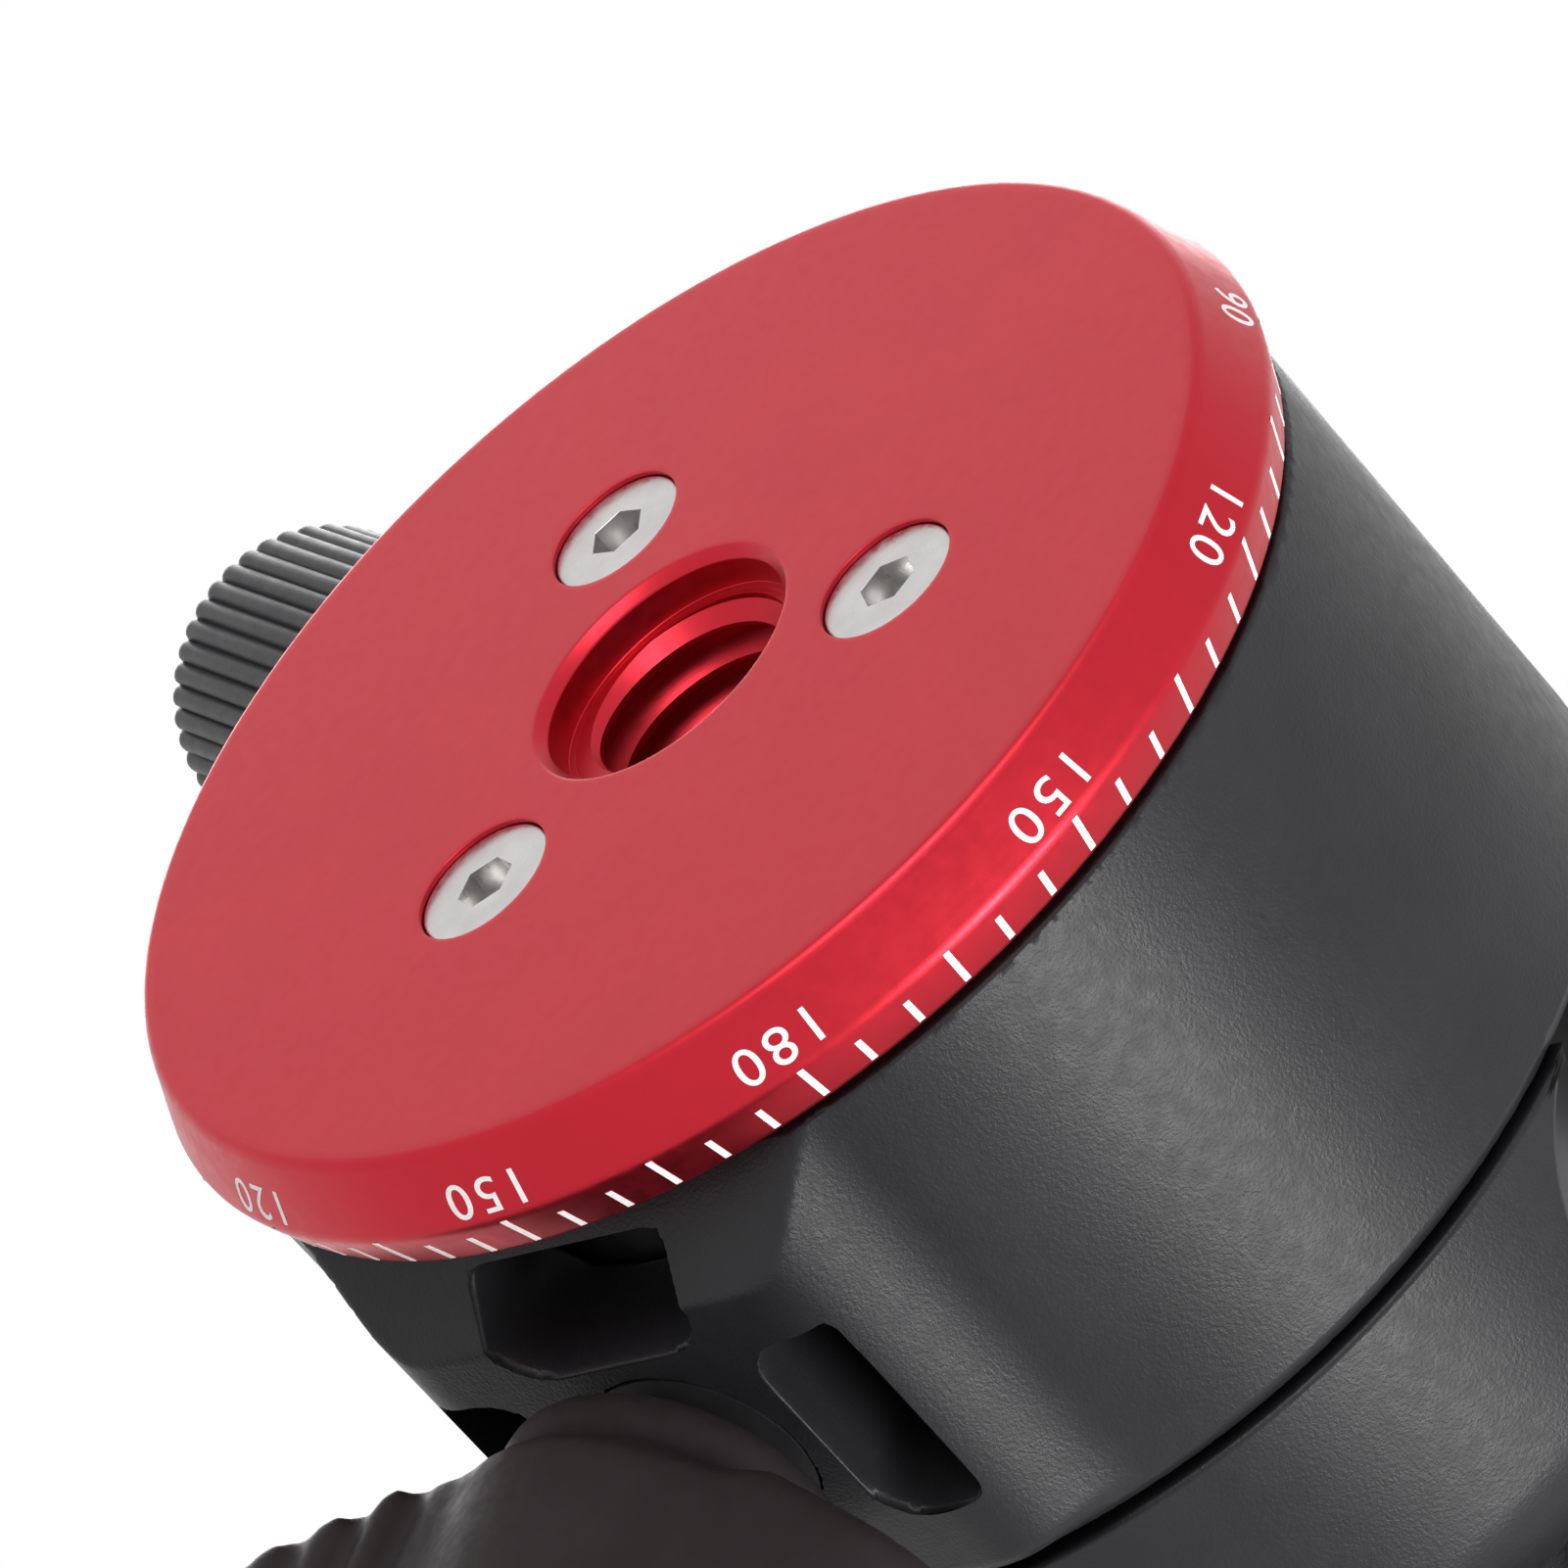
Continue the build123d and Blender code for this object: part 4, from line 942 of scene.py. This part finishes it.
class HEAD_OT_pan_bearing(bpy.types.Operator):
    """The spindle and the washers inside"""
    bl_idname = "head.pan_bearing"
    bl_label = "Pan bearing"

    def execute(self, context):
        coat("inner_steel", "pan_spindle")
        coat("slide_washer", "lower_washer", "upper_washer")
        return {"FINISHED"}


# Casing

class HEAD_OT_casing(bpy.types.Operator):
    """The black shell, its collar and what is fitted in them"""
    bl_idname = "head.casing"
    bl_label = "Casing"

    def plain_x(self, casing, y, z):
        """How far out the wall and its plain round boss lie."""
        wall = math.sqrt(max(0, casing.wall_r ** 2 - y ** 2))
        slope = (math.hypot(y, z - casing.lock_z) - casing.boss_r) / casing.boss_flare
        out = max(wall, casing.boss_x - max(0, slope) * (casing.boss_x - casing.bore_r))
        return min(out, casing.boss_x - casing.facet_slope * max(0, casing.facet_z - z))

    def soft_x(self, casing, y, z):
        """How far out the wall lies with an upright pad that runs softly into it."""
        wall = math.sqrt(max(0, casing.wall_r ** 2 - y ** 2))
        t = (abs(y) - casing.soft_y) / (casing.blend_y - casing.soft_y)
        end = min(1, max(0, (casing.pad_top - z) / casing.pad_end))
        t = min(1, max(0, t))
        share = (1 - t ** 3 * (t * (t * 6 - 15) + 10)) * end * (2 - end)
        out = wall + (casing.boss_x - wall) * share
        return min(out, casing.boss_x - casing.facet_slope * max(0, casing.facet_z - z))

    def blend(self, bm, casing):
        """Runs the boss softly into the round wall, trues wall, bore and ledge, returns normals."""
        upright, slanted, outward = 0.3, 0.5, 0.35    # limits of a normal's height and run
        bm.normal_update()
        normals = [v.normal.copy() for v in bm.verts]
        bore_r, skin, ledge_z = casing.bore_r, casing.skin, casing.ledge_z
        for v, normal in zip(bm.verts, normals):
            x, y, z = v.co
            reach = v.co.xy.length
            wall = abs(reach - bore_r) < skin and z > ledge_z - skin
            ledge = casing.ledge_r < reach < bore_r and abs(z - ledge_z) < skin
            if wall or ledge:
                if wall and (ledge or normal.z < slanted):
                    v.co.xy = (x * bore_r / reach, y * bore_r / reach)
                if ledge:
                    v.co.z = ledge_z
            elif x > bore_r / 2 and abs(y) < casing.blend_y and z < casing.pad_top:
                out = self.soft_x(casing, y, z)
                if x > self.plain_x(casing, y, z) - skin and normal.x > outward:
                    v.co.x = out
                    across = self.soft_x(casing, y + skin, z) - self.soft_x(casing, y - skin, z)
                    along = self.soft_x(casing, y, z + skin) - self.soft_x(casing, y, z - skin)
                    normal[:] = Vector((2 * skin, -across, -along)).normalized()
                else:
                    v.co.x = min(x, out)
            elif abs(reach - casing.wall_r) < skin / 5:
                v.co.xy = (x * casing.wall_r / reach, y * casing.wall_r / reach)
                if abs(normal.z) < upright:
                    normal[:] = Vector((x, y, 0)).normalized()
        return normals

    def execute(self, context):
        casing = context.scene.head_casing
        bm = even_mesh("housing", casing.grain)
        settle(bm, casing.soft_passes)
        normals = self.blend(bm, casing)
        shell = piece("casing_shell", bm, "housing", "black_casing", ["housing"], sharp=180.0)
        shell.data.normals_split_custom_set_from_vertices(normals)
        eased("casing_collar", "upper_collar", "black_casing", casing.collar_edge)
        coat("seat_plastic", "upper_seat")
        coat("dark_screw", "collar_grub")
        coat("inner_black", "lock_bushing")
        return {"FINISHED"}


class HEAD_OT_ball_lock(bpy.types.Operator):
    """The wedge, ring and cup that clamp the ball"""
    bl_idname = "head.ball_lock"
    bl_label = "Ball lock"

    def execute(self, context):
        coat("inner_steel", "lock_shoe")
        coat("inner_black", "lift_ring")
        coat("seat_plastic", "seat_cup")
        coat("dark_screw", "lock_screw")
        return {"FINISHED"}


# Knobs

class HEAD_OT_main_knob(bpy.types.Operator):
    """The winged knob of the ball lock"""
    bl_idname = "head.main_knob"
    bl_label = "Main knob"

    def execute(self, context):
        knobs = context.scene.head_knobs
        bm = even_mesh("main_knob", knobs.grain)
        settle(bm, knobs.soft_passes)
        for v in bm.verts:
            v.co += v.normal * knobs.plump
        front = Matrix.Translation((-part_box("main_knob")[1].x, 0, -knobs.lock_z))
        size = (knobs.shorten, knobs.narrow, knobs.narrow)
        bmesh.ops.scale(bm, vec=size, space=front, verts=bm.verts)
        piece("winged_knob", bm, "main_knob", "main_grip", ["main_knob"], sharp=180.0)
        eased("winged_knob_cap", "knob_cap", "grip_cap", knobs.cap_edge)
        return {"FINISHED"}


class HEAD_OT_ridged_knobs(bpy.types.Operator):
    """The ridged knobs of the pan lock and the clamp"""
    bl_idname = "head.ridged_knobs"
    bl_label = "Ridged knobs"

    def grip(self, knobs, neck_z, start, end, screw_r):
        """A ridged knob along +Z, bored at its neck and dished at its face."""
        bore, curve = screw_r + knobs.bore_play, knobs.end_round
        bend = [i * math.pi / 8 for i in range(5)]
        flat = knobs.grip_r - curve
        dish = flat - knobs.face_rim
        floor, sunk = dish - knobs.dish_t, end - knobs.dish_t

        def ridged(radius, height):
            def reach(angle):
                wave = abs(math.sin(angle * knobs.ridge_count / 2)) ** knobs.ridge_shape
                return radius - knobs.ridge_t * height * (1 - wave)
            return reach

        bm = bmesh.new()
        ringed(bm, [
            (bore / 2, neck_z + knobs.bore_t), (bore, neck_z + knobs.bore_t), (bore, neck_z),
            (knobs.neck_r, neck_z), (knobs.neck_r, start), (flat - knobs.foot_rim, start),
            *((ridged(flat + curve * math.sin(a), math.sin(a)), start + curve * (1 - math.cos(a)))
              for a in bend),
            *((ridged(flat + curve * math.cos(a), math.cos(a)), end - curve * (1 - math.sin(a)))
              for a in bend),
            (dish, end), (floor, sunk), (floor * 0.9, sunk), (floor / 4, sunk),
        ], knobs.ridge_count * knobs.ridge_faces)
        return bm

    def execute(self, context):
        knobs = context.scene.head_knobs
        bm = self.grip(knobs, knobs.pan_in, knobs.pan_grip, knobs.pan_out, knobs.screw_r)
        place = Matrix.Rotation(knobs.pan_side, 4, "Z") @ lying(knobs.pan_z)
        bmesh.ops.transform(bm, matrix=place, verts=bm.verts)
        piece("ridged_pan_knob", bm, "pan_knob", "ridged_knob", ["pan_knob"], sharp=50.0)
        bm = self.grip(
            knobs, knobs.clamp_in, knobs.clamp_grip, knobs.clamp_out, knobs.clamp_screw_r,
        )
        bmesh.ops.transform(bm, matrix=lying(knobs.clamp_z), verts=bm.verts)
        piece("ridged_clamp_knob", bm, "clamp_knob", "ridged_knob", ["clamp_knob"], sharp=50.0)
        coat("dark_screw", "pan_screw", "clamp_screw")
        coat("brass_fitting", "pan_pad")
        return {"FINISHED"}


# Ball, clamp and plate

class HEAD_OT_ball(bpy.types.Operator):
    """The ball and its stem"""
    bl_idname = "head.ball"
    bl_label = "Ball and stem"

    def execute(self, context):
        edge = context.scene.head_clamp.ball_edge
        eased("polished_ball", "ball", "ball_finish", edge)
        eased("turned_stem", "stem", "stem_steel", edge)
        coat("dark_screw", "fixing_screw")
        return {"FINISHED"}


class HEAD_OT_clamp(bpy.types.Operator):
    """The clamp, its moving jaw, pins and springs"""
    bl_idname = "head.clamp"
    bl_label = "Quick-release clamp"

    def springs(self, clamp):
        """Two coils of round wire between the clamp and its jaw."""
        whole = bmesh.new()
        low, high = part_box("jaw_springs")
        wire = clamp.wire_r
        coil_r = (high.z - low.z) / 2 - wire
        steps = clamp.coil_steps * clamp.coils
        rise = (high.x - low.x - 2 * wire) / steps
        for side in (low.y + coil_r + wire, high.y - coil_r - wire):
            one = bmesh.new()
            start = Matrix.Translation((coil_r, 0, wire)) @ Matrix.Rotation(math.pi / 2, 4, "X")
            made = bmesh.ops.create_circle(
                one, cap_ends=False, radius=wire, segments=8, matrix=start,
            )
            bmesh.ops.spin(
                one, geom=made["verts"] + one.edges[:], cent=(0, 0, 0), axis=(0, 0, 1),
                dvec=(0, 0, rise), angle=FULL_TURN * clamp.coils, steps=steps,
                use_merge=False, use_duplicate=False,
            )
            ends = [e for e in one.edges if e.is_boundary]
            bmesh.ops.holes_fill(one, edges=ends, sides=0)
            bmesh.ops.recalc_face_normals(one, faces=one.faces)
            join(whole, one, Matrix.Translation((low.x, side, 0)) @ lying((low.z + high.z) / 2))
        piece("coil_springs", whole, "moving_jaw", "pin_steel", ["jaw_springs"])

    def execute(self, context):
        clamp = context.scene.head_clamp
        eased("clamp_block", "clamp_body", "clamp_black", clamp.body_edge)
        eased("clamp_jaw", "moving_jaw", "clamp_black", clamp.body_edge)
        self.springs(clamp)
        coat("pin_steel", "guide_pins")
        return {"FINISHED"}


class HEAD_OT_level(bpy.types.Operator):
    """The round bubble level"""
    bl_idname = "head.level"
    bl_label = "Bubble level"

    def glass(self, clamp, middle, radius, low_z, high_z):
        """A short cylinder with a domed top, filled with the liquid."""
        top, dome = high_z - clamp.dome_t, clamp.dome_t
        arc = [i * math.pi / 16 for i in range(1, 9)]
        bm = bmesh.new()
        lathe(
            bm, [(0, low_z), (radius, low_z), (radius, top)]
            + [(radius * math.cos(a), top + dome * math.sin(a)) for a in arc], SMALL,
        )
        bmesh.ops.transform(bm, matrix=middle, verts=bm.verts)
        piece("level_glass", bm, "stem", "level_liquid", ["level_vial"], sharp=50.0)

    def bubble(self, clamp, middle, top):
        """A flat bubble just under the dome."""
        bm = bmesh.new()
        place = Matrix.Translation((clamp.bubble_x, clamp.bubble_y, top - clamp.bubble_t))
        bmesh.ops.create_uvsphere(
            bm, u_segments=24, v_segments=12, radius=clamp.bubble_r,
            matrix=middle @ place @ Matrix.Diagonal((1, 1, clamp.bubble_flat, 1)),
        )
        piece("level_bubble", bm, "stem", "level_liquid", material="level_air")

    def mark(self, clamp, middle, radius, top):
        """The painted ring on the dome."""
        bm = bmesh.new()
        ring_r = clamp.level_ring_r
        level_z = top + clamp.dome_t * math.sqrt(1 - (ring_r / radius) ** 2)
        place = Matrix.Translation((ring_r, 0, level_z)) @ Matrix.Rotation(math.pi / 2, 4, "X")
        bmesh.ops.create_circle(
            bm, cap_ends=False, radius=clamp.level_line, segments=8, matrix=place,
        )
        bmesh.ops.spin(
            bm, geom=bm.verts[:] + bm.edges[:], cent=(0, 0, 0), axis=(0, 0, 1), dvec=(0, 0, 0),
            angle=FULL_TURN, steps=SMALL, use_merge=True, use_duplicate=False,
        )
        bmesh.ops.recalc_face_normals(bm, faces=bm.faces)
        bmesh.ops.transform(bm, matrix=middle, verts=bm.verts)
        piece("level_mark", bm, "stem", "level_liquid", material="level_paint")

    def execute(self, context):
        clamp = context.scene.head_clamp
        eased("level_bezel_ring", "level_bezel", "level_rim", clamp.bezel_edge, 2)
        low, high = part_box("level_vial")
        radius = (high.x - low.x) / 2
        middle = Matrix.Translation(((low.x + high.x) / 2, (low.y + high.y) / 2, 0))
        top = high.z - clamp.dome_t
        self.glass(clamp, middle, radius, low.z, high.z)
        self.bubble(clamp, middle, top)
        self.mark(clamp, middle, radius, top)
        return {"FINISHED"}


class HEAD_OT_plate(bpy.types.Operator):
    """The quick-release plate and its ribbed rubber pads"""
    bl_idname = "head.plate"
    bl_label = "Quick-release plate"

    def pick_edges(self, bm, clamp):
        """Marks the plate's edges for rounding, but not those under the rims of the pads."""
        low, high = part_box("plate_pads")
        play = clamp.cover_play
        weight = bm.edges.layers.float.new("bevel_weight_edge")
        for e in bm.edges:
            covered = all(
                clamp.pad_inner - play < abs(v.co.x) < high.x + play
                and low.y - play < v.co.y < high.y + play and v.co.z > low.z - play
                for v in e.verts
            )
            sharp = e.is_manifold and e.calc_face_angle() > EDGE_ANGLE
            e[weight] = 1.0 if sharp and not covered else 0.0

    def pads(self, clamp):
        """Two rubber pads with rounded ribs along them."""
        low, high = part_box("plate_pads")
        whole = bmesh.new()
        width = high.x - clamp.pad_inner
        ribs = int(width / clamp.rib_pitch)
        pitch = width / ribs
        half, foot = pitch * clamp.rib_share, high.z - clamp.rib_t
        bend = [i * math.pi / 6 for i in range(7)]
        for side in (1, -1):
            outline = [(clamp.pad_inner, low.z)]
            for rib in range(ribs):
                middle = clamp.pad_inner + (rib + 0.5) * pitch
                outline += [
                    (middle - math.cos(a) * half, foot + math.sin(a) * clamp.rib_t) for a in bend
                ]
            outline.append((high.x, low.z))
            face = whole.faces.new([whole.verts.new((side * x, low.y, z)) for x, z in outline])
            made = bmesh.ops.extrude_face_region(whole, geom=[face])["geom"]
            far = [g for g in made if isinstance(g, bmesh.types.BMVert)]
            bmesh.ops.translate(whole, verts=far, vec=(0, high.y - low.y, 0))
        bmesh.ops.recalc_face_normals(whole, faces=whole.faces)
        piece("ribbed_pads", whole, "qr_plate", "pad_rubber", ["plate_pads"])

    def execute(self, context):
        clamp = context.scene.head_clamp
        bm = welded("qr_plate")
        self.pick_edges(bm, clamp)
        made = piece("dovetail_plate", bm, "qr_plate", "plate_black", ["qr_plate"])
        soften(made, clamp.plate_edge).limit_method = "WEIGHT"
        self.pads(clamp)
        return {"FINISHED"}


class HEAD_OT_camera_screw(bpy.types.Operator):
    """The camera screw with its thread, and the clip that holds it"""
    bl_idname = "head.camera_screw"
    bl_label = "Camera screw"

    def execute(self, context):
        clamp = context.scene.head_clamp
        bm = welded("camera_screw")
        core = [v for v in bm.verts if v.co.z > clamp.camera_thread_z - HAIR]
        slim = clamp.camera_core_r / clamp.camera_crest_r
        bmesh.ops.scale(bm, vec=(slim, slim, 1), verts=core)
        made = piece("camera_bolt", bm, "camera_screw", "camera_steel", ["camera_screw"])
        soften(made, clamp.camera_edge, 2)
        bm = bmesh.new()
        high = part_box("camera_screw")[1].z - clamp.camera_end
        thread_sleeve(
            bm, clamp.camera_crest_r, clamp.camera_root_r, clamp.camera_core_r - 4 * HAIR,
            clamp.camera_pitch, clamp.camera_thread_z, high,
        )
        piece("camera_thread", bm, "camera_screw", "camera_steel", sharp=30.0)
        coat("pin_steel", "screw_clip")
        return {"FINISHED"}


# Stage

class HEAD_OT_studio(bpy.types.Operator):
    """Floor, lamps, white surroundings and the camera"""
    bl_idname = "head.studio"
    bl_label = "Studio"

    def seen_only(self, tree, kinds):
        """A value of 1 for rays of these kinds."""
        rays = tree.nodes.new("ShaderNodeLightPath")
        value = rays.outputs[kinds[0]]
        for kind in kinds[1:]:
            either = tree.nodes.new("ShaderNodeMath")
            either.operation = "MAXIMUM"
            tree.links.new(value, either.inputs[0])
            tree.links.new(rays.outputs[kind], either.inputs[1])
            value = either.outputs[0]
        return value

    def one_sided(self, paint):
        """Shows the floor only to the camera, and only from above."""
        tree = paint.tree
        side = tree.nodes.new("ShaderNodeNewGeometry")
        front = tree.nodes.new("ShaderNodeMath")
        front.operation = "SUBTRACT"
        tree.links.new(self.seen_only(tree, ["Is Camera Ray"]), front.inputs[0])
        tree.links.new(side.outputs["Backfacing"], front.inputs[1])
        clear = tree.nodes.new("ShaderNodeBsdfTransparent")
        mix = tree.nodes.new("ShaderNodeMixShader")
        tree.links.new(front.outputs[0], mix.inputs["Fac"])
        tree.links.new(clear.outputs[0], mix.inputs[1])
        tree.links.new(paint.shader.outputs[0], mix.inputs[2])
        tree.links.new(mix.outputs[0], tree.nodes["Material Output"].inputs["Surface"])

    def floor(self, studio):
        """A pale round floor under the base."""
        bm = bmesh.new()
        place = Matrix.Translation((0, 0, -studio.floor_gap))
        bmesh.ops.create_circle(
            bm, cap_ends=True, radius=studio.floor_r, segments=MIDDLE, matrix=place,
        )
        bmesh.ops.recalc_face_normals(bm, faces=bm.faces)
        for face in bm.faces:
            if face.normal.z < 0:
                face.normal_flip()
        mesh = bpy.data.meshes.new("floor")
        bm.to_mesh(mesh)
        bm.free()
        ground = bpy.data.objects.new("floor", mesh)
        bpy.context.scene.collection.objects.link(ground)
        paint = Paint("floor_paint", specular=0.1)
        pale = studio.floor_paint
        paint.tint(paint.noise(0.2, 2.0), shaded(pale, 0.99), shaded(pale, 1.01))
        paint.roughen(paint.noise(0.05, 2.0), 0.85, 0.95)
        self.one_sided(paint)
        mesh.materials.append(paint.material)

    def surroundings(self, studio):
        """White where it is seen or mirrored, and a softer light elsewhere."""
        world = bpy.data.worlds.new("studio_white")
        bpy.context.scene.world = world
        world.use_nodes = True
        tree = world.node_tree
        back = tree.nodes["Background"]
        back.inputs["Color"].default_value = (1, 1, 1, 1)
        level = tree.nodes.new("ShaderNodeMapRange")
        level.inputs["To Min"].default_value = studio.ambient
        level.inputs["To Max"].default_value = 1.0
        seen = self.seen_only(tree, ["Is Camera Ray", "Is Glossy Ray", "Is Transmission Ray"])
        tree.links.new(seen, level.inputs["Value"])
        tree.links.new(level.outputs["Result"], back.inputs["Strength"])

    def lamp(self, studio, name, power, width, at):
        """A round lamp that faces the head."""
        light = bpy.data.lights.new(name, "AREA")
        light.shape = "DISK"
        light.size = width
        light.energy = power
        holder = bpy.data.objects.new(name, light)
        holder.location = at
        holder.rotation_mode = "QUATERNION"
        view = Vector((0, 0, studio.lit_z)) - Vector(at)
        holder.rotation_quaternion = view.to_track_quat("-Z", "Y")
        bpy.context.scene.collection.objects.link(holder)
        return holder

    def camera(self, studio):
        """The camera at the photograph's place."""
        lens = bpy.data.cameras.new("studio_camera")
        lens.lens = studio.lens
        lens.sensor_width = studio.sensor
        lens.clip_start = studio.near
        lens.clip_end = studio.far
        eye = bpy.data.objects.new("studio_camera", lens)
        eye.location = studio.eye
        eye.rotation_euler = Euler(studio.aim, "XYZ")
        bpy.context.scene.collection.objects.link(eye)
        bpy.context.scene.camera = eye

    def execute(self, context):
        studio = context.scene.head_studio
        self.floor(studio)
        self.surroundings(studio)
        self.lamp(studio, "key_lamp", studio.key, studio.key_w, studio.key_at)
        over = self.lamp(studio, "fill_lamp", studio.fill, studio.fill_w, studio.fill_at)
        over.visible_glossy = False
        self.lamp(studio, "rim_lamp", studio.rim, studio.rim_w, studio.rim_at)
        self.lamp(studio, "low_lamp", studio.rim, studio.low_w, studio.low_at)
        self.camera(studio)
        context.scene.view_settings.view_transform = "Standard"
        return {"FINISHED"}


class HEAD_PT_panel(bpy.types.Panel):
    """Lists the steps that dress the ball head"""
    bl_label = "Ball Head"
    bl_idname = "HEAD_PT_panel"
    bl_space_type = "VIEW_3D"
    bl_region_type = "UI"
    bl_category = "Ball Head"

    def draw(self, context):
        for step in STEPS:
            self.layout.operator(step.bl_idname)


GROUPS = {
    "head_base": BaseSettings, "head_screws": ScrewSettings, "head_casing": CasingSettings,
    "head_knobs": KnobSettings, "head_clamp": ClampSettings, "head_finish": FinishSettings,
    "head_studio": StudioSettings,
}
STEPS = (
    HEAD_OT_base_disc, HEAD_OT_base_thread, HEAD_OT_degree_scale, HEAD_OT_base_screws,
    HEAD_OT_pan_bearing, HEAD_OT_casing, HEAD_OT_ball_lock, HEAD_OT_main_knob,
    HEAD_OT_ridged_knobs, HEAD_OT_ball, HEAD_OT_clamp, HEAD_OT_level, HEAD_OT_plate,
    HEAD_OT_camera_screw, HEAD_OT_studio,
)


def register():
    for group in GROUPS.values():
        bpy.utils.register_class(group)
    for name, group in GROUPS.items():
        setattr(bpy.types.Scene, name, PointerProperty(type=group))
    for step in (*STEPS, HEAD_PT_panel):
        bpy.utils.register_class(step)


def unregister():
    for step in (HEAD_PT_panel, *reversed(STEPS)):
        bpy.utils.unregister_class(step)
    for name, group in GROUPS.items():
        delattr(bpy.types.Scene, name)
        bpy.utils.unregister_class(group)


def main():
    register()
    bpy.ops.head.base_disc()
    bpy.ops.head.base_thread()
    bpy.ops.head.degree_scale()
    bpy.ops.head.base_screws()
    bpy.ops.head.pan_bearing()
    bpy.ops.head.casing()
    bpy.ops.head.ball_lock()
    bpy.ops.head.main_knob()
    bpy.ops.head.ridged_knobs()
    bpy.ops.head.ball()
    bpy.ops.head.clamp()
    bpy.ops.head.level()
    bpy.ops.head.plate()
    bpy.ops.head.camera_screw()
    bpy.ops.head.studio()


if __name__ == "__main__":
    main()
